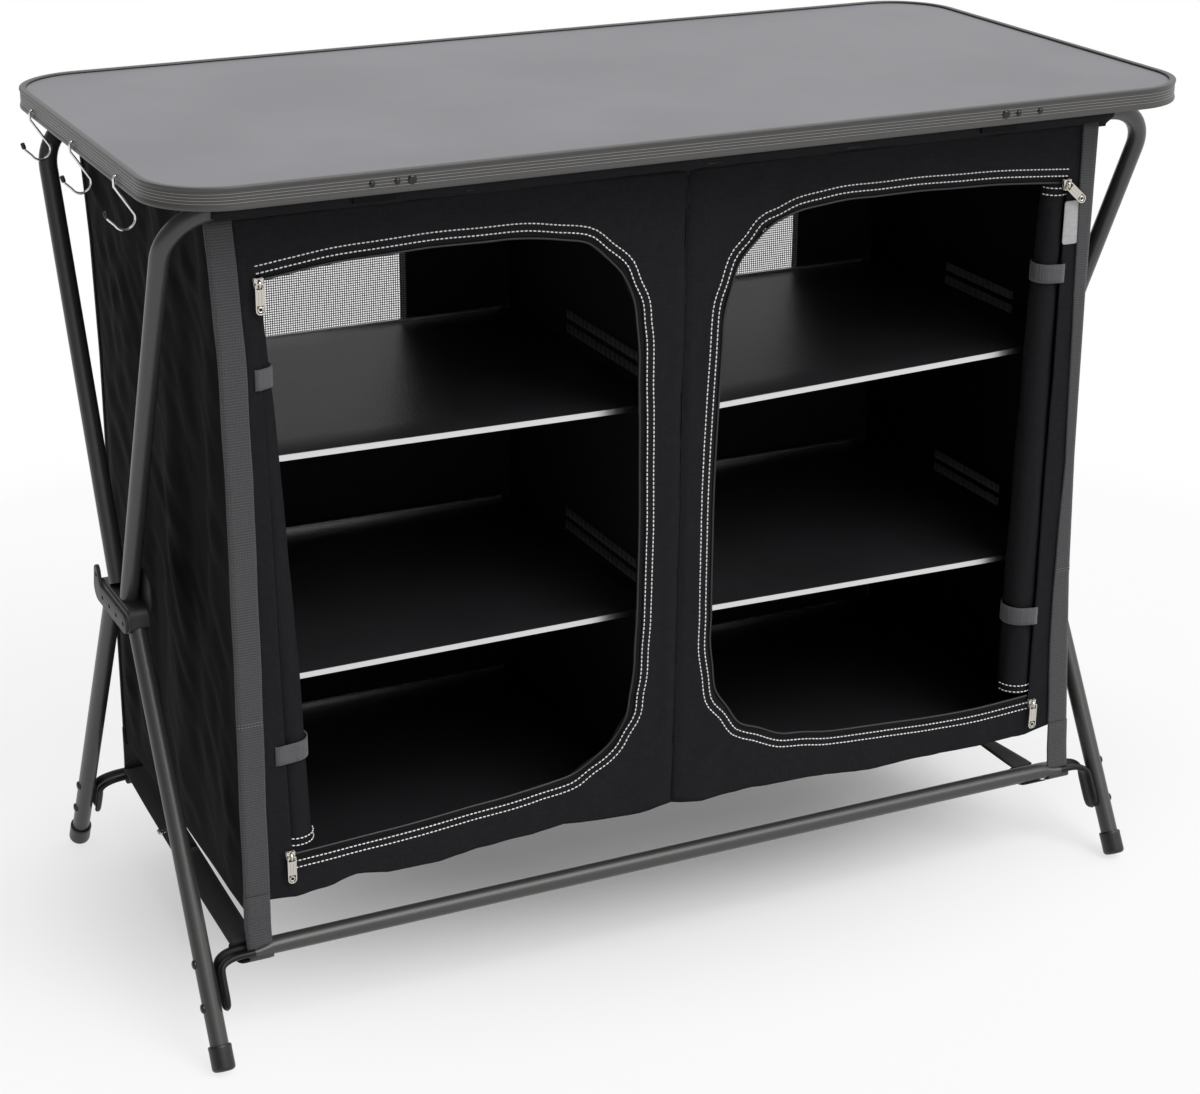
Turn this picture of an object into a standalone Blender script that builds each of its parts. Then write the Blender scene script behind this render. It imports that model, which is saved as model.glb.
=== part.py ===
"""A folding camping cupboard: a rigid table top on a four-tube folding frame, with a cloth body that hangs
between the top tubes and the rails, two door openings, four shelves and two floor boards.

Metres, X to the right, Y to the back, Z up. The origin is on the floor under the middle of the table top.
"""
import math

import bmesh
import bpy
from mathutils import Matrix, Vector

# Table top
TOP_WIDTH = 1.050
TOP_DEPTH = 0.515
TOP_HEIGHT = 0.845
TOP_CORNER_RADIUS = 0.070
EDGE_HEIGHT = 0.020
EDGE_WEB = 0.0022
EDGE_RECESS = 0.0013
EDGE_LIP = 0.0016
EDGE_LIP_BAND = 0.0035
EDGE_EASE = 0.0010
TOP_LIP_REACH = 0.0065
BOTTOM_LIP_REACH = 0.0090
BOARD_DROP = 0.0018
BOARD_EASE = 0.0010

# Fasteners and hooks of the table top
RIVET_GROUP_X = 0.320
RIVET_PITCH = 0.0200
SMALL_RIVET_RADIUS = 0.0033
LARGE_RIVET_RADIUS = 0.0045
RIVET_HEAD = 0.0020
RIVET_CROWN = 0.55
RIVET_SHANK_RADIUS = 0.0020
RIVET_STRIP_THICK = 0.0015
RIVET_STRIP_HEIGHT = 0.0100
RIVET_STRIP_END = 0.0120
HOOK_WIRE_RADIUS = 0.0012
HOOK_TIP_RADIUS = 0.0020
HOOK_DROP = 0.0400
HOOK_REACH_IN = 0.0155
HOOK_REACH_OUT = 0.0100
HOOK_STUB = 0.0090
HOOK_HOLE_HEIGHT = 0.0080
HOOK_STANDOFF = 0.0009
HOOK_BEND_RADIUS = 0.0026
HOOK_BELOW_EDGE = 0.0030
HOOK_BOWL_RADIUS = 0.0098
# The turned-out tip, as distance in from the hook's outer reach and height above the bowl's middle
HOOK_TIP = ((0.0010, 0.0010), (0.0, 0.0035), (-0.0012, 0.0075))
HOOK_YS = (0.150, 0.008, -0.132)

# Frame
TUBE_RADIUS = 0.0090
TUBE_WALL = 0.0012
LEG_INSET = 0.0200
TOP_TUBE_INSET = 0.0575
TOP_TUBE_DROP = 0.0035
TOP_BEND_RADIUS = 0.048
KNEE_Y = 0.022
KNEE_HEIGHT = 0.405
FOOT_INSET = 0.0215
PIN_RISE = 0.0135
PIN_RADIUS = 0.0025
TUBE_PAST_PIN = 0.0090
RAIL_HEIGHT = 0.096
RAIL_FORWARD = 0.0022
RAIL_TAB_RADIUS = 0.0055
RAIL_TAB_LOW = 0.036
RAIL_TAB_HIGH = 0.076
RAIL_BEND = 0.026
RAIL_NECK = 0.0420
RAIL_NECK_TAPER = 0.35
CAP_RADIUS = 0.0112
CAP_LENGTH = 0.028
CAP_FLOOR = 0.0040
TUBE_IN_CAP = 0.0050

# Moulded side joints
BASE_PLATE_LENGTH = 0.104
BASE_PLATE_HEIGHT = 0.054
BASE_PLATE_THICK = 0.0020
BASE_PLATE_BELOW_KNEE = 0.0005
BASE_PLATE_CORNER = 0.0250
BAR_IN_PLATE = 0.0012
PIN_IN_PLATE = 0.0008
RIB_THICK = 0.0025
RIB_WIDTH = 0.0190
RIB_BELOW_KNEE = 0.0270
RIB_FRONT_Y = -0.040
RIB_REAR_Y = 0.0500
RIB_RISE = 0.0230
RIB_HEEL_RADIUS = 0.0142
RIB_HEEL_FORWARD = 0.0038
RIB_TIP_RADIUS = 0.0070
RIB_TIP_DROP = 0.0030
# Two points of the inner bend, as distance in front of the tip and height above the level bar
RIB_NECK = ((0.0105, 0.0040), (0.0170, 0.0))
RIB_HOLE_RADIUS = 0.0022
RIB_HOLE_PITCH = 0.0235
RIB_HOLE_FLOOR = 0.0001
RIB_TOP_HOLE = (0.0010, 0.0172)
INNER_PLATE_THICK = 0.0025
INNER_PLATE_LENGTH = 0.116
INNER_PLATE_HEIGHT = 0.050
INNER_PLATE_CORNER = 0.0230

# Catches under the table top
CATCH_X = 0.320
CATCH_LENGTH = 0.040
CATCH_HALF_WIDTH = 0.0135
CATCH_BELOW_AXIS = 0.0050

# Cloth body
CLOTH = 0.0020
CLOTH_BESIDE_LEG = 0.0440
CLOTH_BELOW_TUBE = 0.0009
HEM_HEIGHT = 0.134
FLOOR_CLOTH_HEIGHT = 0.138
DIVIDER_X = -0.008
DOOR_OUTER_MARGIN = 0.048
DOOR_INNER_MARGIN = 0.026
DOOR_TOP_MARGIN = 0.0366
DOOR_BOTTOM_MARGIN = 0.0490
DOOR_INNER_RADIUS = 0.085
DOOR_OUTER_RADIUS = 0.008
WINDOW_WIDTH = 0.216
WINDOW_HEIGHT = 0.185
WINDOW_TOP_MARGIN = 0.0576
WINDOW_CORNER = 0.010
MESH_THICK = 0.0010
ROLL_TOP_RADIUS = 0.0120
ROLL_LOW_RADIUS = 0.0180
ROLL_TOP_INSET = 0.0360
ROLL_LOW_INSET = 0.0560
ROLL_END_CLEARANCE = 0.010
STRAP_WIDTH = 0.026
STRAP_THICK = 0.0018
STRAP_BELOW_RAIL = 0.0020
BASE_STRAP_THICK = 0.0015
BUCKLE_Y = 0.080
BUCKLE_LENGTH = 0.016
BUCKLE_WIDTH = 0.032
BUCKLE_THICK = 0.0020
TAG_WIDTH = 0.0220
TAG_HEIGHT = 0.0420
TAG_THICK = 0.0010
TAG_CORNER = 0.0030
TAG_BESIDE_STRAP = 0.0006
TAG_BELOW_TOP = 0.1006

# Zip sliders and pulls
SLIDER_WIDTH = 0.0090
SLIDER_HEIGHT = 0.0110
SLIDER_THICK = 0.0045
SLIDER_CORNER = 0.0020
SLIDER_BESIDE_DOOR = 0.0030
PULL_STANDOFF = 0.0006
PULL_WIDTH = 0.0080
PULL_LENGTH = 0.0270
PULL_THICK = 0.0016
PULL_LOW_CORNER = 0.0038
PULL_TOP_CORNER = 0.0006
PULL_HOLE_RADIUS = 0.0016
PULL_HOLE_RISE = 0.0045
UPPER_SLIDER_DROP = 0.0220
LOWER_SLIDER_DROP = 0.0030
UPPER_RIGHT_PULL_LEAN = math.radians(48.0)

# Boards
SHELF_SIDE_GAP = 0.0047
SHELF_BEHIND_ROLL = 0.0015
SHELF_REAR_GAP = 0.0100
SHELF_THICK = 0.0045
SHELF_CORNER = 0.022
SHELF_RISES = (0.2120, 0.4280)
FLOOR_BOARD_THICK = 0.0040
FLOOR_BOARD_END_GAP = 0.0041

# Touching faces keep this gap
GAP = 0.0003

# Edges sharper than this stay sharp in the shading
SMOOTH_ANGLE = math.radians(35.0)

# Sizes that follow from the ones above
LEG_X = TOP_WIDTH / 2 - LEG_INSET
TOP_TUBE_Y = TOP_DEPTH / 2 - TOP_TUBE_INSET
FOOT_Y = TOP_DEPTH / 2 - FOOT_INSET
BASE_PLATE_CENTRE = KNEE_HEIGHT - BASE_PLATE_BELOW_KNEE
RIB_Z = KNEE_HEIGHT - RIB_BELOW_KNEE
CLOTH_HALF_WIDTH = LEG_X - CLOTH_BESIDE_LEG
TOP_UNDERSIDE = TOP_HEIGHT - EDGE_HEIGHT
TOP_TUBE_HEIGHT = TOP_UNDERSIDE - TOP_TUBE_DROP - TUBE_RADIUS
UPPER_SLOPE = (TOP_TUBE_Y - KNEE_Y) / (TOP_TUBE_HEIGHT - KNEE_HEIGHT)
LOWER_SLOPE = (FOOT_Y - KNEE_Y) / (KNEE_HEIGHT - CAP_RADIUS)
UPPER_PIN = (KNEE_Y + UPPER_SLOPE * PIN_RISE, KNEE_HEIGHT + PIN_RISE)
LOWER_PIN = (KNEE_Y + LOWER_SLOPE * PIN_RISE, KNEE_HEIGHT - PIN_RISE)
PLATE_FACE_X = LEG_X + TUBE_RADIUS + GAP
INNER_FACE_X = LEG_X - TUBE_RADIUS - GAP
RAIL_TAB_X = LEG_X - TUBE_RADIUS - GAP - RAIL_TAB_RADIUS
CLOTH_TOP = TOP_TUBE_HEIGHT - TUBE_RADIUS - CLOTH_BELOW_TUBE
DOOR_TOP = CLOTH_TOP - DOOR_TOP_MARGIN
DOOR_BOTTOM = HEM_HEIGHT + DOOR_BOTTOM_MARGIN
WINDOW_HIGH = CLOTH_TOP - WINDOW_TOP_MARGIN
WINDOW_LOW = WINDOW_HIGH - WINDOW_HEIGHT
TAG_Z = CLOTH_TOP - TAG_BELOW_TOP
UPPER_SLIDER_Z = DOOR_TOP - UPPER_SLIDER_DROP
LOWER_SLIDER_Z = DOOR_BOTTOM - LOWER_SLIDER_DROP
BOARD_INSET = EDGE_RECESS + EDGE_WEB + GAP
BOARD_TOP = TOP_HEIGHT - BOARD_DROP
BOARD_BOTTOM = TOP_UNDERSIDE + EDGE_LIP + GAP


def leg_y(height):
    """Distance of a leg's centre line from the middle plane at a height."""
    return KNEE_Y + LOWER_SLOPE * (KNEE_HEIGHT - height)


RAIL_Y = leg_y(RAIL_HEIGHT) + RAIL_FORWARD
CLOTH_FRONT_Y = RAIL_Y + TUBE_RADIUS
CLOTH_INNER_Y = CLOTH_FRONT_Y - CLOTH


def clear_scene():
    for item in list(bpy.data.objects):
        bpy.data.objects.remove(item, do_unlink=True)


clear_scene()
PARTS = bpy.data.collections.new("camping_cupboard")
CUTTERS = bpy.data.collections.new("cutters")
bpy.context.scene.collection.children.link(PARTS)
bpy.context.scene.collection.children.link(CUTTERS)


def finish(name, colour, roughness, metallic=0.0):
    """A plain surface for the solid model."""
    material = bpy.data.materials.new(name)
    material.use_nodes = True
    shader = material.node_tree.nodes["Principled BSDF"]
    shader.inputs["Base Color"].default_value = (*colour, 1.0)
    shader.inputs["Roughness"].default_value = roughness
    shader.inputs["Metallic"].default_value = metallic
    return material


LAMINATE = finish("grey_laminate", (0.32, 0.32, 0.34), 0.45)
GREY_ALUMINIUM = finish("grey_aluminium", (0.12, 0.12, 0.12), 0.40, 0.6)
CHROME = finish("chrome_wire", (0.80, 0.80, 0.80), 0.12, 1.0)
POWDER_COAT = finish("dark_powder_coat", (0.10, 0.10, 0.10), 0.45, 0.3)
BLACK_PLASTIC = finish("black_plastic", (0.02, 0.02, 0.02), 0.45)
RUBBER = finish("black_rubber", (0.02, 0.02, 0.02), 0.80)
BLACK_CLOTH = finish("black_polyester", (0.012, 0.012, 0.013), 0.85)
GREY_WEBBING = finish("grey_webbing", (0.07, 0.07, 0.08), 0.90)
BLACK_WEBBING = finish("black_webbing", (0.012, 0.012, 0.012), 0.90)
MESH = finish("grey_mesh", (0.45, 0.45, 0.47), 0.85)
BLACK_BOARD = finish("black_board", (0.02, 0.02, 0.022), 0.50)
NICKEL = finish("nickel", (0.62, 0.58, 0.52), 0.25, 1.0)
SILVER_TAG = finish("silver_tag", (0.45, 0.45, 0.46), 0.60)


def place(item, material):
    """Puts a finished piece in the cupboard's collection with its material."""
    PARTS.objects.link(item)
    if item.type == "MESH":
        item.data.shade_smooth()
        item.data.set_sharp_from_angle(angle=SMOOTH_ANGLE)
    item.data.materials.clear()
    item.data.materials.append(material)
    return item


def as_cutter(item):
    """Marks a shape as a guide that only cuts or joins others."""
    CUTTERS.objects.link(item)
    item.hide_render = True
    item.display_type = "WIRE"
    return item


def mesh_object(name, bm):
    mesh = bpy.data.meshes.new(name)
    bm.to_mesh(mesh)
    bm.free()
    return bpy.data.objects.new(name, mesh)


def box_shape(name, low, high):
    bm = bmesh.new()
    bmesh.ops.create_cube(bm, size=1.0)
    size = [high[i] - low[i] for i in range(3)]
    centre = [(high[i] + low[i]) / 2 for i in range(3)]
    bmesh.ops.scale(bm, vec=size, verts=bm.verts)
    bmesh.ops.translate(bm, vec=centre, verts=bm.verts)
    return mesh_object(name, bm)


def rod_shape(name, start, end, radius, sides=16):
    """A solid round rod between two points."""
    start = Vector(start)
    end = Vector(end)
    bm = bmesh.new()
    bmesh.ops.create_cone(bm, cap_ends=True, segments=sides, radius1=radius, radius2=radius,
                          depth=(end - start).length)
    turn = (end - start).to_track_quat("Z", "Y").to_matrix().to_4x4()
    bmesh.ops.transform(bm, matrix=turn, verts=bm.verts)
    bmesh.ops.translate(bm, vec=(start + end) / 2, verts=bm.verts)
    return mesh_object(name, bm)


def to_mesh(item, weld=1e-6):
    """Turns a curve into a mesh with its caps welded on."""
    graph = bpy.context.evaluated_depsgraph_get()
    graph.update()
    mesh = bpy.data.meshes.new_from_object(item.evaluated_get(graph), depsgraph=graph)
    bm = bmesh.new()
    bm.from_mesh(mesh)
    bmesh.ops.remove_doubles(bm, verts=bm.verts, dist=weld)
    bm.to_mesh(mesh)
    bm.free()
    solid = bpy.data.objects.new(item.name + "_solid", mesh)
    solid.matrix_world = item.matrix_world.copy()
    name = item.name
    bpy.data.objects.remove(item, do_unlink=True)
    solid.name = name
    return solid


def add_spline(curve, points, cyclic, radii=None):
    spline = curve.splines.new("POLY")
    spline.points.add(len(points) - 1)
    for index, point in enumerate(points):
        spline.points[index].co = (*point, 1.0)
        if radii:
            spline.points[index].radius = radii[index]
    spline.use_cyclic_u = cyclic


def wire_curve(name, points, radius, resolution=4, radii=None, caps=True):
    """A round bar that follows a list of points."""
    curve = bpy.data.curves.new(name, "CURVE")
    curve.dimensions = "3D"
    curve.bevel_depth = radius
    curve.bevel_resolution = resolution
    curve.use_fill_caps = caps
    add_spline(curve, points, False, radii)
    return bpy.data.objects.new(name, curve)


def slab_curve(name, outlines, low, high, normal="Z"):
    """A flat piece cut to an outline; further outlines are holes.

    Its thickness runs from low to high along the normal. On a slab across Y the outline is (x, z), and on
    one across X it is (y, z)."""
    curve = bpy.data.curves.new(name, "CURVE")
    curve.dimensions = "2D"
    curve.fill_mode = "BOTH"
    curve.extrude = (high - low) / 2
    for outline in outlines:
        add_spline(curve, [(x, y, 0.0) for x, y in outline], True)
    item = bpy.data.objects.new(name, curve)
    middle = (high + low) / 2
    if normal == "Z":
        item.location = (0, 0, middle)
    elif normal == "Y":
        item.rotation_euler = (math.pi / 2, 0, 0)
        item.location = (0, middle, 0)
    else:
        item.rotation_euler = (math.pi / 2, 0, math.pi / 2)
        item.location = (middle, 0, 0)
    return item


def update_places():
    bpy.context.view_layer.update()


def slab_mesh(name, outlines, low, high, normal="Z"):
    """The same flat piece as a mesh, for cutting."""
    item = slab_curve(name, outlines, low, high, normal)
    CUTTERS.objects.link(item)
    update_places()
    return to_mesh(item)


def boolean(item, other, operation):
    modifier = item.modifiers.new(operation.lower() + "_" + other.name, "BOOLEAN")
    modifier.operation = operation
    modifier.solver = "EXACT"
    modifier.object = other


def cut(item, *shapes):
    for shape in shapes:
        boolean(item, as_cutter(shape), "DIFFERENCE")


def join(item, *shapes):
    for shape in shapes:
        boolean(item, as_cutter(shape), "UNION")


def arc(centre, radius, start, end, steps):
    """Points of a circular arc in a plane, angles in degrees."""
    points = []
    for index in range(steps + 1):
        angle = math.radians(start + (end - start) * index / steps)
        points.append((centre[0] + radius * math.cos(angle), centre[1] + radius * math.sin(angle)))
    return points


def rounded_box_outline(low, high, radii, steps=6):
    """A rectangle with its own radius at each corner: lower left, lower right, upper right, upper left."""
    points = []
    corners = ((low[0], low[1], 180), (high[0], low[1], 270), (high[0], high[1], 0), (low[0], high[1], 90))
    for (x, y, start), radius in zip(corners, radii):
        centre_x = x + radius if x == low[0] else x - radius
        centre_y = y + radius if y == low[1] else y - radius
        points.extend(arc((centre_x, centre_y), radius, start, start + 90, steps))
    return points


def table_outline(inset, steps=8):
    """The table's plan, moved in from its outer edge."""
    half = (TOP_WIDTH / 2 - inset, TOP_DEPTH / 2 - inset)
    radius = TOP_CORNER_RADIUS - inset
    return rounded_box_outline((-half[0], -half[1]), half, (radius,) * 4, steps)


def hook_hole(number, x_out, x_in):
    """The round hole for a hook's stub, through the left edge rail and into the board."""
    z = TOP_UNDERSIDE + HOOK_HOLE_HEIGHT
    y = HOOK_YS[number]
    radius = HOOK_WIRE_RADIUS + GAP
    return rod_shape("hook_hole_%d" % number, (x_out, y, z), (x_in, y, z), radius, 12)


RIVET_Z = TOP_UNDERSIDE + EDGE_HEIGHT / 2
WEB_OUTER_Y = -TOP_DEPTH / 2 + EDGE_RECESS
WEB_INNER_Y = WEB_OUTER_Y + EDGE_WEB
STRIP_BACK_Y = WEB_INNER_Y + GAP + RIVET_STRIP_THICK
# Offsets from the group's middle, with the head radius: the large rivet is on the side of the table's middle
RIVETS = ((-1.15, SMALL_RIVET_RADIUS), (0.15, SMALL_RIVET_RADIUS), (0.95, LARGE_RIVET_RADIUS))


def rivet_xs(side):
    middle = side * RIVET_GROUP_X
    return [(middle - side * offset * RIVET_PITCH, radius) for offset, radius in RIVETS]


def strip_bounds(side, margin):
    xs = [x for x, radius in rivet_xs(side)]
    low = (min(xs) - RIVET_STRIP_END - margin, WEB_INNER_Y, RIVET_Z - RIVET_STRIP_HEIGHT / 2 - margin)
    high = (max(xs) + RIVET_STRIP_END + margin, STRIP_BACK_Y + margin, RIVET_Z + RIVET_STRIP_HEIGHT / 2 + margin)
    return low, high


def round_the_plan(name, section, capped=False):
    """One section of (distance in from the edge, height) pairs swept round the table's plan.

    A capped one is closed over the middle at its first and last pair; the other is a closed ring."""
    bm = bmesh.new()
    loops = []
    for inset, height in section:
        loops.append([bm.verts.new((x, y, height)) for x, y in table_outline(inset)])
    pairs = list(zip(loops, loops[1:]))
    if capped:
        bm.faces.new(loops[0])
        bm.faces.new(loops[-1])
    else:
        pairs.append((loops[-1], loops[0]))
    for loop, following in pairs:
        for corner in range(len(loop)):
            after = (corner + 1) % len(loop)
            bm.faces.new((loop[corner], loop[after], following[after], following[corner]))
    bmesh.ops.recalc_face_normals(bm, faces=bm.faces)
    return mesh_object(name, bm)


def tabletop():
    """The board, with its upper edge eased so that its flat face ends inside the rail's lip."""
    face = BOARD_TOP - GAP
    section = [(BOARD_INSET, BOARD_BOTTOM), (BOARD_INSET, face - BOARD_EASE), (TOP_LIP_REACH + GAP, face)]
    board = round_the_plan("tabletop_board", section, capped=True)
    for side in (-1, 1):
        low, high = strip_bounds(side, GAP)
        low = (low[0], low[1] - TOP_LIP_REACH, low[2])
        cut(board, box_shape("strip_pocket_%d" % side, low, high))
    for number in range(len(HOOK_YS)):
        x_out = -TOP_WIDTH / 2 - HOOK_STUB
        x_in = -TOP_WIDTH / 2 + EDGE_RECESS + HOOK_STUB + GAP
        cut(board, hook_hole(number, x_out, x_in))
    place(board, LAMINATE)


def edge_profile():
    """Section of the edge rail as (distance in from the outer edge, height above its underside)."""
    web_inner = EDGE_RECESS + EDGE_WEB
    band = EDGE_LIP_BAND
    top = EDGE_HEIGHT
    return [
        (BOTTOM_LIP_REACH, 0.0),
        (0.0, 0.0),
        (0.0, band),
        (EDGE_RECESS, band + EDGE_EASE),
        (EDGE_RECESS, top - band - EDGE_EASE),
        (0.0, top - band),
        (0.0, top),
        (TOP_LIP_REACH, top),
        (TOP_LIP_REACH, top - BOARD_DROP + GAP),
        (web_inner, top - BOARD_DROP + GAP),
        (web_inner, EDGE_LIP),
        (BOTTOM_LIP_REACH, EDGE_LIP),
    ]


def tabletop_edge():
    """The aluminium rail bent round the board: one section swept round the plan."""
    section = [(inset, TOP_UNDERSIDE + height) for inset, height in edge_profile()]
    rail = round_the_plan("tabletop_edge", section)
    for side in (-1, 1):
        for number, (x, radius) in enumerate(rivet_xs(side)):
            shank = rod_shape("rivet_hole_%d_%d" % (side, number), (x, WEB_OUTER_Y - RIVET_HEAD, RIVET_Z),
                              (x, WEB_INNER_Y + EDGE_WEB, RIVET_Z), RIVET_SHANK_RADIUS + GAP, 12)
            cut(rail, shank)
    for number in range(len(HOOK_YS)):
        cut(rail, hook_hole(number, -TOP_WIDTH / 2 - HOOK_STUB, -TOP_WIDTH / 2 + EDGE_RECESS + EDGE_WEB * 2))
    place(rail, GREY_ALUMINIUM)


def edge_rivets(side, name):
    """Three rivets on the strip behind the rail's web that takes the catch."""
    low, high = strip_bounds(side, 0.0)
    low = (low[0], WEB_INNER_Y + GAP, low[2])
    strip = box_shape(name, low, high)
    for number, (x, radius) in enumerate(rivet_xs(side)):
        bm = bmesh.new()
        bmesh.ops.create_cone(bm, cap_ends=True, segments=16, radius1=radius, radius2=radius * RIVET_CROWN,
                              depth=RIVET_HEAD)
        turn = Vector((0, -1, 0)).to_track_quat("Z", "Y").to_matrix().to_4x4()
        bmesh.ops.transform(bm, matrix=turn, verts=bm.verts)
        bmesh.ops.translate(bm, vec=(x, WEB_OUTER_Y - GAP - RIVET_HEAD / 2, RIVET_Z), verts=bm.verts)
        head = mesh_object("%s_head_%d" % (name, number), bm)
        shank = rod_shape("%s_shank_%d" % (name, number), (x, WEB_OUTER_Y - RIVET_HEAD / 2, RIVET_Z),
                          (x, WEB_INNER_Y + GAP + RIVET_STRIP_THICK / 2, RIVET_Z), RIVET_SHANK_RADIUS, 12)
        join(strip, shank, head)
    place(strip, NICKEL)


def hook_points():
    """The hook's route in its own (x, z), from the stub's inner end to the tip; x grows inwards."""
    out = -HOOK_WIRE_RADIUS - HOOK_STANDOFF
    points = [(EDGE_RECESS + HOOK_STUB, HOOK_HOLE_HEIGHT)]
    bend = (out + HOOK_BEND_RADIUS, HOOK_HOLE_HEIGHT - HOOK_BEND_RADIUS)
    points.extend(arc(bend, HOOK_BEND_RADIUS, 90, 180, 4))
    points.append((out, -HOOK_BELOW_EDGE))
    bowl = (HOOK_REACH_IN - HOOK_BOWL_RADIUS, HOOK_BOWL_RADIUS - HOOK_DROP)
    points.extend(arc(bowl, HOOK_BOWL_RADIUS, 20, -150, 10))
    points.extend((inward - HOOK_REACH_OUT, bowl[1] + rise) for inward, rise in HOOK_TIP)
    return points


HOOK_NAMES = ("rear_hook", "middle_hook", "front_hook")


def hook(number, name):
    y = HOOK_YS[number]
    points = [(-TOP_WIDTH / 2 + x, y, TOP_UNDERSIDE + z) for x, z in hook_points()]
    radii = [1.0] * (len(points) - 2) + [HOOK_TIP_RADIUS / HOOK_WIRE_RADIUS] * 2
    place(wire_curve(name, points, HOOK_WIRE_RADIUS, 2, radii), CHROME)


def catch(side, facing, name, below):
    """A saddle under the table top that straddles a top tube; facing is -1 in front and 1 behind."""
    y = facing * TOP_TUBE_Y
    z = TOP_TUBE_HEIGHT
    half = CATCH_HALF_WIDTH
    inner = TUBE_RADIUS + GAP
    top = BOARD_BOTTOM - GAP
    outline = [(y - half, top), (y - half, z - below), (y - inner, z - below)]
    outline.extend(arc((y, z), inner, 180, 0, 10))
    outline.extend([(y + inner, z - below), (y + half, z - below), (y + half, top)])
    x = side * CATCH_X
    piece = slab_curve(name, [outline], x - CATCH_LENGTH / 2, x + CATCH_LENGTH / 2, "X")
    place(piece, BLACK_PLASTIC)


def hollow(item):
    """Gives an open tube surface its wall, inwards."""
    wall = item.modifiers.new("wall", "SOLIDIFY")
    wall.thickness = TUBE_WALL
    wall.offset = -1.0
    return item


def tube(name, points, radii=None):
    """A round steel tube, open at both ends, as a mesh that can be drilled."""
    item = wire_curve(name, points, TUBE_RADIUS, 4, radii, caps=False)
    CUTTERS.objects.link(item)
    update_places()
    return hollow(to_mesh(item))


def pin_hole(name, side, facing, pin):
    y = facing * pin[0]
    reach = TUBE_RADIUS * 1.5
    return rod_shape(name, (side * LEG_X - reach, y, pin[1]), (side * LEG_X + reach, y, pin[1]),
                     PIN_RADIUS + GAP, 12)


def upper_frame(facing, name):
    """One bent tube: up from the left joint, across under the table top and down to the right joint."""
    length = math.hypot(TOP_TUBE_Y - KNEE_Y, TOP_TUBE_HEIGHT - KNEE_HEIGHT)
    along = ((TOP_TUBE_Y - KNEE_Y) / length, (TOP_TUBE_HEIGHT - KNEE_HEIGHT) / length)
    pin_at = PIN_RISE / along[1]
    bend = TOP_BEND_RADIUS
    flat = [(-LEG_X, pin_at - TUBE_PAST_PIN)]
    flat.extend(reversed(arc((-LEG_X + bend, length - bend), bend, 90, 180, 7)))
    flat.extend(reversed(arc((LEG_X - bend, length - bend), bend, 0, 90, 7)))
    flat.append((LEG_X, pin_at - TUBE_PAST_PIN))
    points = [(x, facing * (KNEE_Y + s * along[0]), KNEE_HEIGHT + s * along[1]) for x, s in flat]
    frame = tube(name, points)
    for side in (-1, 1):
        cut(frame, pin_hole("%s_pin_%d" % (name, side), side, facing, UPPER_PIN))
    place(frame, POWDER_COAT)


LEG_LENGTH = math.hypot(FOOT_Y - KNEE_Y, KNEE_HEIGHT - CAP_RADIUS)
LEG_ALONG = ((FOOT_Y - KNEE_Y) / LEG_LENGTH, -(KNEE_HEIGHT - CAP_RADIUS) / LEG_LENGTH)


def leg_point(side, facing, distance):
    """A point on a leg's centre line, measured down from the knee."""
    return Vector((side * LEG_X, facing * (KNEE_Y + distance * LEG_ALONG[0]),
                   KNEE_HEIGHT + distance * LEG_ALONG[1]))


def leg(side, facing, name):
    pin_at = -PIN_RISE / LEG_ALONG[1]
    start = leg_point(side, facing, pin_at - TUBE_PAST_PIN)
    end = leg_point(side, facing, LEG_LENGTH - TUBE_IN_CAP)
    piece = tube(name, [start, end])
    cut(piece, pin_hole("%s_pin" % name, side, facing, LOWER_PIN))
    place(piece, POWDER_COAT)


def foot(side, facing, name):
    """A rubber cap turned about the leg's end, with a round bottom that touches the floor."""
    inner = TUBE_RADIUS + GAP
    top = CAP_LENGTH - CAP_RADIUS
    profile = [(0.0, CAP_FLOOR), (inner, CAP_FLOOR), (inner, top), (CAP_RADIUS, top), (CAP_RADIUS, 0.0)]
    profile.extend(arc((0.0, 0.0), CAP_RADIUS, 0, -90, 6)[1:-1])
    profile.append((0.0, -CAP_RADIUS))
    mesh = bpy.data.meshes.new(name)
    edges = [(index, index + 1) for index in range(len(profile) - 1)]
    mesh.from_pydata([(x, 0.0, z) for x, z in profile], edges, [])
    item = bpy.data.objects.new(name, mesh)
    turn = item.modifiers.new("turn", "SCREW")
    turn.steps = 20
    turn.render_steps = 20
    turn.use_merge_vertices = True
    turn.merge_threshold = 0.00001
    item.location = leg_point(side, facing, LEG_LENGTH)
    up = -(leg_point(side, facing, 1.0) - leg_point(side, facing, 0.0))
    item.rotation_mode = "QUATERNION"
    item.rotation_quaternion = up.to_track_quat("Z", "Y")
    place(item, RUBBER)


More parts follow.
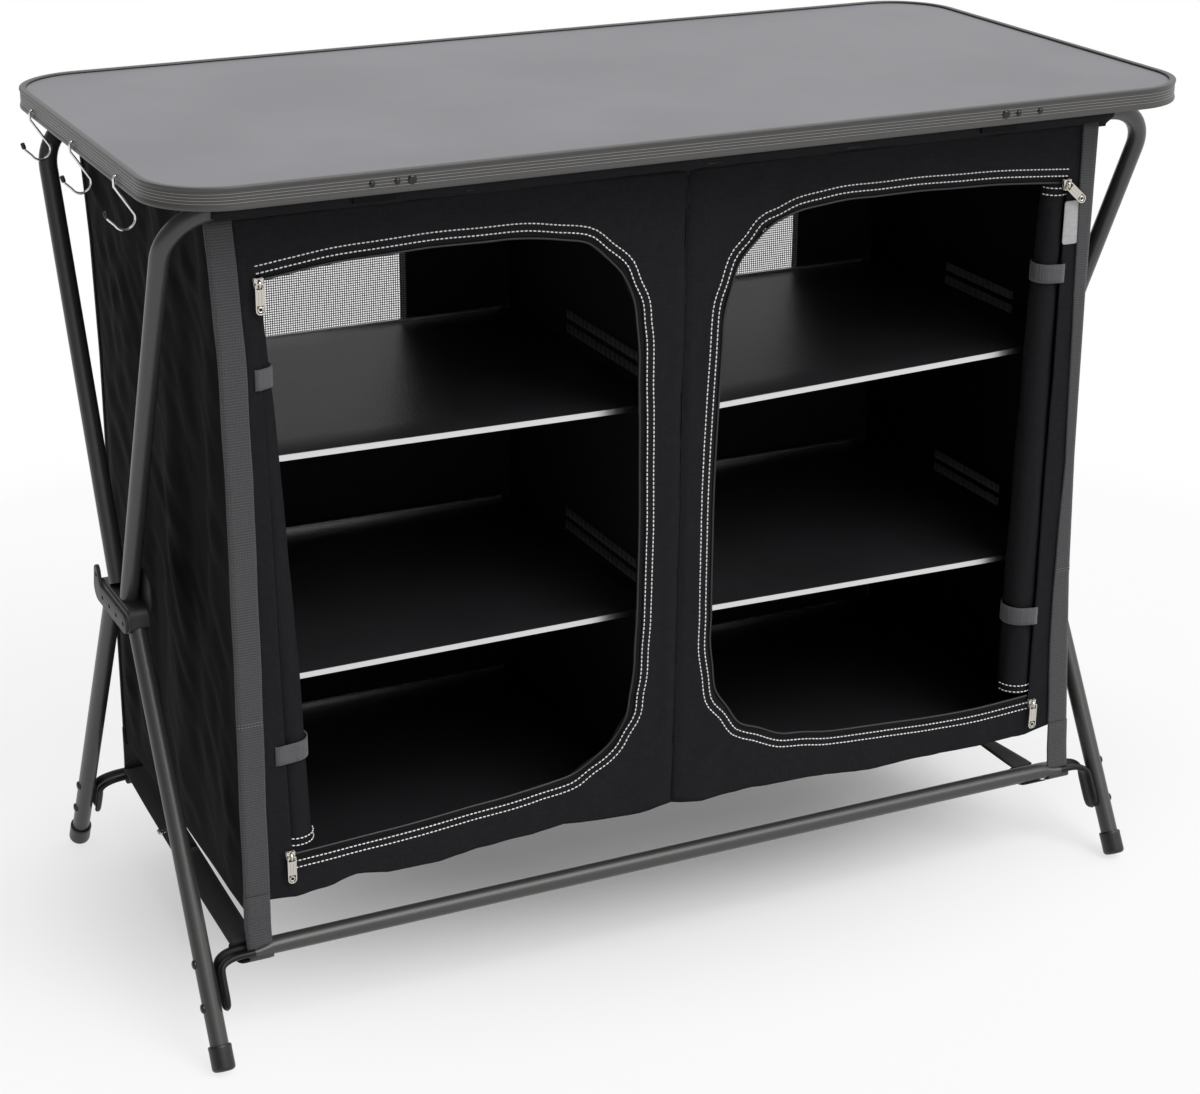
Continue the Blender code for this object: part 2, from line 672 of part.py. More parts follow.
def rail(facing, name):
    """A tube between the legs whose ends are drawn in and bent down along the legs' inner sides."""
    half = []
    half.append((RAIL_TAB_X, leg_y(RAIL_TAB_LOW), RAIL_TAB_LOW))
    start = Vector((RAIL_TAB_X, leg_y(RAIL_TAB_HIGH), RAIL_TAB_HIGH))
    turn = Vector((RAIL_TAB_X, leg_y(RAIL_HEIGHT), RAIL_HEIGHT))
    end = Vector((RAIL_TAB_X - RAIL_BEND, RAIL_Y, RAIL_HEIGHT))
    steps = 6
    for index in range(steps + 1):
        t = index / steps
        half.append(tuple(start * (1 - t) ** 2 + turn * (2 * t * (1 - t)) + end * t ** 2))
    half.append((RAIL_TAB_X - RAIL_NECK, RAIL_Y, RAIL_HEIGHT))
    narrow = RAIL_TAB_RADIUS / TUBE_RADIUS
    widening = (1.0 - narrow) * RAIL_NECK_TAPER
    half_radii = [narrow, narrow]
    half_radii.extend(narrow + widening * index / steps for index in range(1, steps + 1))
    half_radii.append(1.0)
    points = [(x, facing * y, z) for x, y, z in half]
    points += [(-x, facing * y, z) for x, y, z in reversed(half)]
    radii = half_radii + half_radii[::-1]
    place(tube(name, points, radii), POWDER_COAT)


def rib_outline():
    """The raised bar of the outer plate: level in front, turned up at the rear, as (y, z)."""
    half = RIB_WIDTH / 2
    heel = RIB_HEEL_RADIUS
    points = arc((RIB_FRONT_Y, RIB_Z), half, 90, 270, 8)
    points.extend(arc((RIB_REAR_Y - RIB_HEEL_FORWARD, RIB_Z - half + heel), heel, 270, 360, 6))
    points.extend(arc((RIB_REAR_Y, RIB_Z + RIB_RISE - RIB_TIP_DROP), RIB_TIP_RADIUS, 0, 180, 6))
    points.extend((RIB_REAR_Y - forward, RIB_Z + half + rise) for forward, rise in RIB_NECK)
    return points


def rib_holes():
    spots = [(RIB_FRONT_Y + number * RIB_HOLE_PITCH, RIB_Z) for number in range(4)]
    spots.append((RIB_REAR_Y - RIB_TOP_HOLE[0], RIB_Z + RIB_TOP_HOLE[1]))
    return spots


def joint_outer(side, name):
    """The outer plate with its raised bar and the four pins that the tube ends turn on."""
    near = side * PLATE_FACE_X
    far = side * (PLATE_FACE_X + BASE_PLATE_THICK)
    half = (BASE_PLATE_LENGTH / 2, BASE_PLATE_HEIGHT / 2)
    outline = rounded_box_outline((-half[0], BASE_PLATE_CENTRE - half[1]), (half[0], BASE_PLATE_CENTRE + half[1]),
                                  (BASE_PLATE_CORNER,) * 4, 6)
    plate = slab_mesh(name, [outline], min(near, far), max(near, far), "X")
    sunk = side * (PLATE_FACE_X + BASE_PLATE_THICK - BAR_IN_PLATE)
    proud = side * (PLATE_FACE_X + BASE_PLATE_THICK + RIB_THICK)
    bar = slab_mesh(name + "_bar", [rib_outline()], min(sunk, proud), max(sunk, proud), "X")
    join(plate, bar)
    for number, (y, z) in enumerate(rib_holes()):
        hole = rod_shape("%s_hole_%d" % (name, number), (far + side * RIB_HOLE_FLOOR, y, z),
                         (far + 2 * side * RIB_THICK, y, z), RIB_HOLE_RADIUS, 12)
        cut(plate, hole)
    for facing in (-1, 1):
        for number, pin in enumerate((UPPER_PIN, LOWER_PIN)):
            start = (side * (INNER_FACE_X - INNER_PLATE_THICK), facing * pin[0], pin[1])
            end = (side * (PLATE_FACE_X + PIN_IN_PLATE), facing * pin[0], pin[1])
            join(plate, rod_shape("%s_pin_%d_%d" % (name, facing, number), start, end, PIN_RADIUS, 12))
    place(plate, BLACK_PLASTIC)


def joint_inner(side, name):
    """The inner plate, drilled for the pins' ends."""
    near = side * INNER_FACE_X
    far = side * (INNER_FACE_X - INNER_PLATE_THICK)
    half = (INNER_PLATE_LENGTH / 2, INNER_PLATE_HEIGHT / 2)
    middle = (UPPER_PIN[1] + LOWER_PIN[1]) / 2
    outline = rounded_box_outline((-half[0], middle - half[1]), (half[0], middle + half[1]),
                                  (INNER_PLATE_CORNER,) * 4, 6)
    plate = slab_mesh(name, [outline], min(near, far), max(near, far), "X")
    for facing in (-1, 1):
        for number, pin in enumerate((UPPER_PIN, LOWER_PIN)):
            reach = INNER_PLATE_THICK
            start = (far - side * reach, facing * pin[0], pin[1])
            end = (near + side * reach, facing * pin[0], pin[1])
            cut(plate, rod_shape("%s_hole_%d_%d" % (name, facing, number), start, end, PIN_RADIUS + GAP, 12))
    place(plate, BLACK_PLASTIC)


LEFT_INNER = -CLOTH_HALF_WIDTH + CLOTH
RIGHT_INNER = CLOTH_HALF_WIDTH - CLOTH
DIVIDER_LEFT = DIVIDER_X - CLOTH / 2
DIVIDER_RIGHT = DIVIDER_X + CLOTH / 2
SHELF_WIDTH = DIVIDER_LEFT - GAP - LEFT_INNER - SHELF_SIDE_GAP


def door_outline(side):
    """The door opening as (x, z): nearly square at the outer side, round at the divider's side."""
    outer = side * (CLOTH_HALF_WIDTH - DOOR_OUTER_MARGIN)
    inner = DIVIDER_X + side * DOOR_INNER_MARGIN
    low = (min(outer, inner), DOOR_BOTTOM)
    high = (max(outer, inner), DOOR_TOP)
    wide, tight = DOOR_INNER_RADIUS, DOOR_OUTER_RADIUS
    radii = (tight, wide, wide, tight) if side < 0 else (wide, tight, tight, wide)
    return rounded_box_outline(low, high, radii, 8)


def window_centre(side):
    if side < 0:
        return (LEFT_INNER + DIVIDER_LEFT) / 2
    return (RIGHT_INNER + DIVIDER_RIGHT) / 2


def window_outline(side, inset):
    middle = window_centre(side)
    half = WINDOW_WIDTH / 2 - inset
    radius = WINDOW_CORNER - inset
    return rounded_box_outline((middle - half, WINDOW_LOW + inset), (middle + half, WINDOW_HIGH - inset),
                               (radius,) * 4, 4)


def cloth_body():
    wide = CLOTH_HALF_WIDTH
    face = [(-wide, HEM_HEIGHT), (wide, HEM_HEIGHT), (wide, CLOTH_TOP), (-wide, CLOTH_TOP)]
    front = slab_curve("front_panel", [face, door_outline(-1), door_outline(1)], -CLOTH_FRONT_Y, -CLOTH_INNER_Y, "Y")
    place(front, BLACK_CLOTH)
    rear = slab_curve("rear_panel", [face, window_outline(-1, 0.0), window_outline(1, 0.0)], CLOTH_INNER_Y,
                      CLOTH_FRONT_Y, "Y")
    place(rear, BLACK_CLOTH)
    middle = (CLOTH_INNER_Y + CLOTH_FRONT_Y) / 2
    for side, name in ((-1, "left_mesh_window"), (1, "right_mesh_window")):
        window = slab_curve(name, [window_outline(side, GAP)], middle - MESH_THICK / 2, middle + MESH_THICK / 2, "Y")
        place(window, MESH)
    floor = FLOOR_CLOTH_HEIGHT
    low = floor - CLOTH
    inner = wide - CLOTH
    u_shape = [(-wide, CLOTH_TOP), (-wide, low), (wide, low), (wide, CLOTH_TOP), (inner, CLOTH_TOP), (inner, floor),
               (-inner, floor), (-inner, CLOTH_TOP)]
    inside = CLOTH_INNER_Y - GAP
    place(slab_curve("side_and_floor_cloth", [u_shape], -inside, inside, "Y"), BLACK_CLOTH)
    divider = box_shape("divider", (DIVIDER_LEFT, -inside, floor + GAP), (DIVIDER_RIGHT, inside, CLOTH_TOP))
    place(divider, BLACK_CLOTH)


def rolled_door(side, name):
    """A door rolled up along its outer edge, thin at the top and fuller at the bottom, behind the front panel."""
    steps = 10
    points = []
    radii = []
    low = DOOR_BOTTOM + ROLL_END_CLEARANCE
    for index in range(steps + 1):
        t = index / steps
        radius = ROLL_TOP_RADIUS + (ROLL_LOW_RADIUS - ROLL_TOP_RADIUS) * math.sin(t * math.pi / 2)
        inset = ROLL_TOP_INSET + (ROLL_LOW_INSET - ROLL_TOP_INSET) * math.sin(t * math.pi / 2)
        x = side * (CLOTH_HALF_WIDTH - inset)
        points.append((x, -CLOTH_INNER_Y + GAP + radius, DOOR_TOP + (low - DOOR_TOP) * t))
        radii.append(radius / ROLL_LOW_RADIUS)
    place(wire_curve(name, points, ROLL_LOW_RADIUS, 4, radii), BLACK_CLOTH)


def straps():
    low_z = RAIL_HEIGHT - TUBE_RADIUS - STRAP_BELOW_RAIL
    outer = CLOTH_HALF_WIDTH
    for facing, end in ((-1, "front"), (1, "rear")):
        near = facing * (CLOTH_FRONT_Y + GAP)
        far = facing * (CLOTH_FRONT_Y + GAP + STRAP_THICK)
        for side, hand in ((-1, "left"), (1, "right")):
            xs = sorted((side * outer, side * (outer - STRAP_WIDTH)))
            ys = sorted((near, far))
            strap = box_shape("%s_%s_strap" % (end, hand), (xs[0], ys[0], low_z), (xs[1], ys[1], CLOTH_TOP))
            place(strap, GREY_WEBBING)
    for side, hand in ((-1, "left"), (1, "right")):
        xs = sorted((side * outer, side * (outer - STRAP_WIDTH)))
        low = RAIL_HEIGHT + TUBE_RADIUS + GAP
        strap = box_shape("%s_base_strap" % hand, (xs[0], -RAIL_Y, low), (xs[1], RAIL_Y, low + BASE_STRAP_THICK))
        place(strap, BLACK_WEBBING)
        middle = side * (outer - STRAP_WIDTH / 2)
        under = low + BASE_STRAP_THICK + GAP
        buckle = box_shape("%s_buckle" % hand, (middle - BUCKLE_WIDTH / 2, BUCKLE_Y - BUCKLE_LENGTH / 2, under),
                           (middle + BUCKLE_WIDTH / 2, BUCKLE_Y + BUCKLE_LENGTH / 2, under + BUCKLE_THICK))
        place(buckle, NICKEL)
    face = -CLOTH_FRONT_Y - GAP
    right = CLOTH_HALF_WIDTH - STRAP_WIDTH - TAG_BESIDE_STRAP
    outline = rounded_box_outline((right - TAG_WIDTH, TAG_Z - TAG_HEIGHT / 2), (right, TAG_Z + TAG_HEIGHT / 2),
                                  (TAG_CORNER,) * 4, 3)
    place(slab_curve("sewn_tag", [outline], face - TAG_THICK, face, "Y"), SILVER_TAG)


SLIDER_X = CLOTH_HALF_WIDTH - DOOR_OUTER_MARGIN + SLIDER_BESIDE_DOOR
SLIDER_BACK_Y = -CLOTH_FRONT_Y - GAP
SLIDER_FRONT_Y = SLIDER_BACK_Y - SLIDER_THICK
PULL_AXIS_Y = SLIDER_FRONT_Y - PULL_STANDOFF - PULL_THICK / 2
ZIP_ENDS = (
    ("upper_left", -SLIDER_X, UPPER_SLIDER_Z, 0.0),
    ("lower_left", -SLIDER_X, LOWER_SLIDER_Z, 0.0),
    ("upper_right", SLIDER_X, UPPER_SLIDER_Z, UPPER_RIGHT_PULL_LEAN),
    ("lower_right", SLIDER_X, LOWER_SLIDER_Z, 0.0),
)


def zip_end(where, x, z, lean):
    """A slider on the zip's front and the pull that hangs from it; lean turns the pull about Y."""
    half = (SLIDER_WIDTH / 2, SLIDER_HEIGHT / 2)
    body = rounded_box_outline((x - half[0], z - half[1]), (x + half[0], z + half[1]), (SLIDER_CORNER,) * 4, 3)
    place(slab_curve("%s_zip_slider" % where, [body], SLIDER_FRONT_Y, SLIDER_BACK_Y, "Y"), NICKEL)
    top = PULL_THICK / 2
    radii = (PULL_LOW_CORNER, PULL_LOW_CORNER, PULL_TOP_CORNER, PULL_TOP_CORNER)
    blade = rounded_box_outline((-PULL_WIDTH / 2, top - PULL_LENGTH), (PULL_WIDTH / 2, top), radii, 4)
    hole = arc((0.0, top - PULL_LENGTH + PULL_HOLE_RISE), PULL_HOLE_RADIUS, 0, 324, 9)
    turned = []
    for outline in (blade, hole):
        turned.append([(x + px * math.cos(lean) - pz * math.sin(lean),
                        z + px * math.sin(lean) + pz * math.cos(lean)) for px, pz in outline])
    low, high = PULL_AXIS_Y - PULL_THICK / 2, PULL_AXIS_Y + PULL_THICK / 2
    place(slab_curve("%s_zip_pull" % where, turned, low, high, "Y"), NICKEL)


def board_x(side):
    """A board's side next to the divider, and its outer side."""
    if side < 0:
        near = DIVIDER_LEFT - GAP
        return near - SHELF_WIDTH, near
    near = DIVIDER_RIGHT + GAP
    return near, near + SHELF_WIDTH


def boards():
    rear = CLOTH_INNER_Y - SHELF_REAR_GAP
    front = -CLOTH_INNER_Y + GAP + 2 * ROLL_LOW_RADIUS + SHELF_BEHIND_ROLL
    for side, hand in ((-1, "left"), (1, "right")):
        low_x, high_x = board_x(side)
        for level, rise in zip(("lower", "upper"), SHELF_RISES):
            top = FLOOR_CLOTH_HEIGHT + rise
            outline = rounded_box_outline((low_x, front), (high_x, rear), (SHELF_CORNER,) * 4, 5)
            place(slab_curve("%s_%s_shelf" % (level, hand), [outline], top - SHELF_THICK, top), BLACK_BOARD)
        low = FLOOR_CLOTH_HEIGHT + GAP
        half = CLOTH_INNER_Y - FLOOR_BOARD_END_GAP
        outline = rounded_box_outline((low_x, -half), (high_x, half), (SHELF_CORNER / 2,) * 4, 4)
        place(slab_curve("%s_floor_board" % hand, [outline], low, low + FLOOR_BOARD_THICK), BLACK_BOARD)


tabletop()
tabletop_edge()
edge_rivets(-1, "left_edge_rivets")
edge_rivets(1, "right_edge_rivets")
for hook_number, hook_name in enumerate(HOOK_NAMES):
    hook(hook_number, hook_name)
for hand_side, hand_name in ((-1, "left"), (1, "right")):
    catch(hand_side, -1, "%s_front_catch" % hand_name, CATCH_BELOW_AXIS)
    catch(hand_side, 1, "%s_rear_catch" % hand_name, CATCH_BELOW_AXIS)
    joint_outer(hand_side, "%s_joint_outer" % hand_name)
    joint_inner(hand_side, "%s_joint_inner" % hand_name)
    rolled_door(hand_side, "%s_rolled_door" % hand_name)
for face_side, face_name in ((-1, "front"), (1, "rear")):
    upper_frame(face_side, "%s_upper_frame" % face_name)
    rail(face_side, "%s_rail" % face_name)
    for hand_side, hand_name in ((-1, "left"), (1, "right")):
        leg(hand_side, face_side, "%s_%s_leg" % (face_name, hand_name))
        foot(hand_side, face_side, "%s_%s_foot" % (face_name, hand_name))
cloth_body()
straps()
for zip_values in ZIP_ENDS:
    zip_end(*zip_values)
boards()


def pivot(name, spot, pieces, carrier=None):
    """An empty on a joint's axis that carries the pieces that turn or slide together."""
    empty = bpy.data.objects.new(name, None)
    empty.location = spot
    PARTS.objects.link(empty)
    for piece in pieces:
        item = bpy.data.objects[piece]
        item.parent = empty
        item.matrix_parent_inverse = Matrix.Translation(-Vector(spot))
    if carrier:
        empty.parent = carrier
        empty.matrix_parent_inverse = carrier.matrix_world.inverted()
    update_places()
    return empty


def pivots():
    """Where each moving group turns or slides."""
    for facing, end in ((-1, "front"), (1, "rear")):
        pivot("%s_upper_pivot" % end, (0, facing * UPPER_PIN[0], UPPER_PIN[1]), ["%s_upper_frame" % end])
        lower = ["%s_rail" % end]
        for hand in ("left", "right"):
            lower.extend(["%s_%s_leg" % (end, hand), "%s_%s_foot" % (end, hand)])
        pivot("%s_lower_pivot" % end, (0, facing * LOWER_PIN[0], LOWER_PIN[1]), lower)
    top = ["tabletop_board", "tabletop_edge"]
    for hand in ("left", "right"):
        top.extend(["%s_edge_rivets" % hand, "%s_front_catch" % hand, "%s_rear_catch" % hand])
    upper = bpy.data.objects["rear_upper_pivot"]
    table = pivot("tabletop_pivot", (0, TOP_TUBE_Y, TOP_TUBE_HEIGHT), top, upper)
    for y, name in zip(HOOK_YS, HOOK_NAMES):
        pivot("%s_pivot" % name, (-TOP_WIDTH / 2, y, TOP_UNDERSIDE + HOOK_HOLE_HEIGHT), [name], table)
    for where, x, z, lean in ZIP_ENDS:
        slide = pivot("%s_slider_pivot" % where, (x, SLIDER_BACK_Y, z), ["%s_zip_slider" % where])
        pivot("%s_pull_pivot" % where, (x, PULL_AXIS_Y, z), ["%s_zip_pull" % where], slide)


pivots()
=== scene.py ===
"""Looks of the folding camping cupboard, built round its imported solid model.

Metres: X to the right, Y to the back, Z up from the floor under the middle of the table top."""
import math

import bmesh
import bpy
from mathutils import Matrix, Vector, kdtree, noise


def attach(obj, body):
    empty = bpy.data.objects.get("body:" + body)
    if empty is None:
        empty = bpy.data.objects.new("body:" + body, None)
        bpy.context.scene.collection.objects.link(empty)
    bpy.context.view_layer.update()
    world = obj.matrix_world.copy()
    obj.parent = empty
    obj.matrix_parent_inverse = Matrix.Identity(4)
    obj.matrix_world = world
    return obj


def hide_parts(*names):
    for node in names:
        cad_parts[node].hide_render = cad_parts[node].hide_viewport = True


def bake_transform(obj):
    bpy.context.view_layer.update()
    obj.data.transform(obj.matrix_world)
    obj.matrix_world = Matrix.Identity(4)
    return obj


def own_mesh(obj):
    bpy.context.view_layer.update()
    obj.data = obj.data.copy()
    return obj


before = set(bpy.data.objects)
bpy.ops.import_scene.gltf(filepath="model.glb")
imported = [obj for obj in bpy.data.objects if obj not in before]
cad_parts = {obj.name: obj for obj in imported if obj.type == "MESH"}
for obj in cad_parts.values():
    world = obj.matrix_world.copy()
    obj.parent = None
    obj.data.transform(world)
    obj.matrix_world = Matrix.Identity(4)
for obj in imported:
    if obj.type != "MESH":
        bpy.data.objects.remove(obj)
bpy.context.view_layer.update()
scene = bpy.context.scene
scene.view_settings.view_transform = "Standard"


# The studio
# A white sweep under plain soft light, seen from the front left and half a metre above the table top. What
# the lens sees is pure white, and so is what metal mirrors from the right. The light itself stays moderate.
PICTURE_WIDTH = 1200.0
PICTURE_HEIGHT = 1094.0
FOCAL_PIXELS = 2598.119
LENS_AXIS = (525.085, 527.35)
CAMERA_PLACE = (-1.10633, -2.25329, 1.36752)
CAMERA_YAW = 0.42686
CAMERA_PITCH = 0.37596
CAMERA_ROLL = -0.00109
SENSOR = 36.0
FLOOR_SIZE = 16.0
FLOOR_COLOUR = "#f7f7f7"
SHADOW_REACH = (0.75, 1.55)
SHADOW_MIDDLE = (-0.08, -0.05, 0.0)
SHADOW_SHAPE = (1 / 0.75, 1 / 0.40, 0.0)
SHADOW_EDGE = (0.25, 1.15)
# Share of painted white glow that lifts the floor's shadow, under the cupboard and out at the ellipse's edge
FLOOR_VEIL = (0.15, 0.80)
# How bright the surroundings are from the left and from the right
AMBIENT = (0.22, 0.66)
# How bright the left shows in reflections, where the rest shows as 1, and where it starts and ends
GLARE_LEFT = 0.25
GLARE_TURN = (0.1, 0.8)
LAMPS = (("key", 1.65, (-36.0, 16.0), 40.0), ("fill", 0.45, (-10.0, 48.0), 60.0))


def linear(code):
    """A colour written in sRGB hex, as the linear values that a shader takes."""
    parts = [int(code[index:index + 2], 16) / 255.0 for index in (1, 3, 5)]
    return tuple(c / 12.92 if c <= 0.04045 else ((c + 0.055) / 1.055) ** 2.4 for c in parts) + (1.0,)


def add(tree, kind, inputs=None, **settings):
    """Adds a node. A value in inputs is set on its socket, and another node's output is linked to it."""
    item = tree.nodes.new(kind)
    for name, value in settings.items():
        setattr(item, name, value)
    for name, value in (inputs or {}).items():
        if isinstance(value, bpy.types.NodeSocket):
            tree.links.new(value, item.inputs[name])
        else:
            item.inputs[name].default_value = value
    return item


def new_material(name):
    """A material, its bare tree and its Object coordinates."""
    material = bpy.data.materials.new(name)
    material.use_nodes = True
    tree = material.node_tree
    tree.nodes.clear()
    return material, tree, add(tree, "ShaderNodeTexCoord").outputs["Object"]


def point_camera():
    yaw, pitch, roll = CAMERA_YAW, CAMERA_PITCH, CAMERA_ROLL
    ahead = Vector((math.sin(yaw) * math.cos(pitch), math.cos(yaw) * math.cos(pitch), -math.sin(pitch)))
    right = Vector((math.cos(yaw), -math.sin(yaw), 0.0))
    up = right.cross(ahead)
    level = Matrix((right * math.cos(roll) + up * math.sin(roll),
                    up * math.cos(roll) - right * math.sin(roll), -ahead)).transposed().to_4x4()
    lens = bpy.data.cameras.new("camera")
    lens.sensor_width = SENSOR
    lens.lens = FOCAL_PIXELS * SENSOR / PICTURE_WIDTH
    lens.shift_x = 0.5 - LENS_AXIS[0] / PICTURE_WIDTH
    lens.shift_y = (LENS_AXIS[1] - PICTURE_HEIGHT / 2) / PICTURE_WIDTH
    camera = bpy.data.objects.new("camera", lens)
    camera.matrix_world = Matrix.Translation(CAMERA_PLACE) @ level
    scene.collection.objects.link(camera)
    scene.camera = camera


point_camera()

world = bpy.data.worlds.new("white_studio")
world.use_nodes = True
scene.world = world
sky = world.node_tree
sky.nodes.clear()
rays = add(sky, "ShaderNodeLightPath")
seen = add(sky, "ShaderNodeMath", {0: rays.outputs["Is Camera Ray"], 1: rays.outputs["Is Transmission Ray"]},
           operation="MAXIMUM")
through = add(sky, "ShaderNodeMath", {0: seen.outputs[0], 1: rays.outputs["Is Glossy Ray"]},
              operation="MAXIMUM")
toward = add(sky, "ShaderNodeNewGeometry")
toward = add(sky, "ShaderNodeSeparateXYZ", {"Vector": toward.outputs["Incoming"]})
level = add(sky, "ShaderNodeMapRange", {"Value": toward.outputs["X"], "From Min": -1.0, "From Max": 1.0,
                                        "To Min": AMBIENT[1], "To Max": AMBIENT[0]})
glare = add(sky, "ShaderNodeMapRange", {"Value": toward.outputs["X"], "From Min": GLARE_TURN[0],
                                        "From Max": GLARE_TURN[1], "To Min": 1.0, "To Max": GLARE_LEFT})
glare = add(sky, "ShaderNodeMath", {0: glare.outputs[0], 1: seen.outputs[0]}, operation="MAXIMUM")
dim, white = [add(sky, "ShaderNodeBackground", {"Color": linear("#ffffff"), "Strength": strength.outputs[0]})
              for strength in (level, glare)]
both = add(sky, "ShaderNodeMixShader", {"Fac": through.outputs[0], 1: dim.outputs[0], 2: white.outputs[0]})
add(sky, "ShaderNodeOutputWorld", {"Surface": both.outputs[0]})

for lamp_name, strength, (tip, lean), spread in LAMPS:
    lamp = bpy.data.lights.new(lamp_name, "SUN")
    lamp.energy = strength
    lamp.angle = math.radians(spread)
    lamp_object = bpy.data.objects.new(lamp_name, lamp)
    lamp_object.rotation_euler = (math.radians(-tip), math.radians(lean), 0.0)
    scene.collection.objects.link(lamp_object)

# Painted board: matt near the cupboard, so that it takes the shadow, and plain white to the lens further out
floor_material, tree, where = new_material("white_floor")
distance = add(tree, "ShaderNodeVectorMath", {0: where}, operation="LENGTH")
faded = add(tree, "ShaderNodeMapRange", {"Value": distance.outputs["Value"], "From Min": SHADOW_REACH[0],
                                         "From Max": SHADOW_REACH[1]}, interpolation_type="SMOOTHSTEP")
under = add(tree, "ShaderNodeVectorMath", {0: where, 1: SHADOW_MIDDLE}, operation="ADD")
under = add(tree, "ShaderNodeVectorMath", {0: under.outputs[0], 1: SHADOW_SHAPE}, operation="MULTIPLY")
under = add(tree, "ShaderNodeVectorMath", {0: under.outputs[0]}, operation="LENGTH")
# The veil: a painted white glow over the matt floor, thin under the cupboard, thicker out, lightening its
# shadow
veil = add(tree, "ShaderNodeMapRange", {"Value": under.outputs["Value"], "From Min": SHADOW_EDGE[0],
                                        "From Max": SHADOW_EDGE[1], "To Min": FLOOR_VEIL[0],
                                        "To Max": FLOOR_VEIL[1]}, interpolation_type="SMOOTHSTEP")
faded = add(tree, "ShaderNodeMath", {0: faded.outputs[0], 1: veil.outputs[0]}, operation="MAXIMUM")
rays = add(tree, "ShaderNodeLightPath")
seen = add(tree, "ShaderNodeMath", {0: rays.outputs["Is Camera Ray"], 1: rays.outputs["Is Glossy Ray"]},
           operation="MAXIMUM")
seen = add(tree, "ShaderNodeMath", {0: seen.outputs[0], 1: rays.outputs["Is Transmission Ray"]},
           operation="MAXIMUM")
far = add(tree, "ShaderNodeMath", {0: seen.outputs[0], 1: faded.outputs[0]}, operation="MULTIPLY")
matt = add(tree, "ShaderNodeBsdfDiffuse", {"Color": linear(FLOOR_COLOUR)})
glow = add(tree, "ShaderNodeEmission", {"Color": linear("#ffffff"), "Strength": 1.0})
skin = add(tree, "ShaderNodeMixShader", {"Fac": far.outputs[0], 1: matt.outputs[0], 2: glow.outputs[0]})
add(tree, "ShaderNodeOutputMaterial", {"Surface": skin.outputs[0]})
bm = bmesh.new()
bmesh.ops.create_grid(bm, x_segments=1, y_segments=1, size=FLOOR_SIZE)
floor_mesh = bpy.data.meshes.new("floor")
bm.to_mesh(floor_mesh)
bm.free()
floor_mesh.materials.append(floor_material)
floor = bpy.data.objects.new("floor", floor_mesh)
scene.collection.objects.link(floor)


# Table board
# A pressed board with a grey melamine laminate that lies just below the lip of its rail. The laminate is
# printed with a faint cloudy speckle and has a fine pebble that softens the light to a satin.
LAMINATE_COLOURS = ("#7e7d82", "#86858a")
SPECKLE = 0.0018
PEBBLE = 0.0006
CLOUD = 0.16


def grained(tree, where, size, deep, detail=2.0):
    """The normals of a skin whose grains are about size metres across and stand deep metres high."""
    grains = add(tree, "ShaderNodeTexNoise", {"Vector": where, "Scale": 1.0 / size, "Detail": detail})
    return add(tree, "ShaderNodeBump", {"Height": grains.outputs["Fac"], "Distance": deep,
                                        "Strength": 1.0}).outputs["Normal"]


def repainted(node, material):
    """Gives a solid that stays in the picture its material."""
    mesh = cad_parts[node].data
    mesh.materials.clear()
    mesh.materials.append(material)


laminate, tree, where = new_material("grey_melamine_laminate")
speckle = add(tree, "ShaderNodeTexNoise", {"Vector": where, "Scale": 1.0 / SPECKLE, "Detail": 4.0,
                                           "Roughness": 0.7})
cloud = add(tree, "ShaderNodeTexNoise", {"Vector": where, "Scale": 1.0 / CLOUD, "Detail": 3.0})
mottle = add(tree, "ShaderNodeMath", {0: speckle.outputs["Fac"], 1: 0.75, 2: cloud.outputs["Fac"]},
             operation="MULTIPLY_ADD")
tone = add(tree, "ShaderNodeMapRange", {"Value": mottle.outputs[0], "From Min": 0.70, "From Max": 1.05})
grey = add(tree, "ShaderNodeMix", {"Factor": tone.outputs[0], 6: linear(LAMINATE_COLOURS[0]),
                                   7: linear(LAMINATE_COLOURS[1])}, data_type="RGBA")
skin = add(tree, "ShaderNodeBsdfPrincipled", {
    "Base Color": grey.outputs[2], "Roughness": 0.50, "IOR": 1.5, "Specular IOR Level": 0.35,
    "Normal": grained(tree, where, PEBBLE, 0.00004)})
add(tree, "ShaderNodeOutputMaterial", {"Surface": skin.outputs[0]})
repainted("tabletop_board", laminate)


# Edge rail
# One extruded aluminium section bent round the board, powder coated dark grey: a rounded lip above and
# below, and a web between them with fine raised lines that catch the light.
TOP_WIDTH = 1.050
TOP_DEPTH = 0.515
TOP_UNDERSIDE = 0.825
CORNER_RADIUS = 0.070
CORNER_STEPS = 14
# Distance in from the outer edge and height above the underside, in millimetres
LIP_SECTION = ((9.0, 1.6), (9.0, 0.0), (1.2, 0.0), (0.5, 0.2), (0.15, 0.7), (0.0, 1.4), (0.0, 2.9),
               (0.2, 3.4), (0.8, 3.8))
WEB_INSET = 1.15
LINE_HEIGHTS = (6.0, 8.7, 11.4, 14.1)
UPPER_SECTION = ((1.3, 16.3), (1.25, 16.9), (0.3, 17.2), (0.05, 17.7), (0.0, 18.5), (0.15, 19.3),
                 (0.6, 19.8), (1.4, 20.0), (5.6, 20.0), (6.2, 19.8), (6.5, 19.3), (6.5, 18.5), (3.5, 18.5),
                 (3.5, 1.6))
LINE_HALF_WIDTH = 0.55
LINE_RISE = 0.45
RAIL_COLOURS = ("#454443", "#525150")
# Lighter colours for the crests of the raised lines: a painted highlight
LINE_HIGHLIGHT_COLOURS = ("#8a8987", "#a19f9c")
MILLIMETRE = 0.001


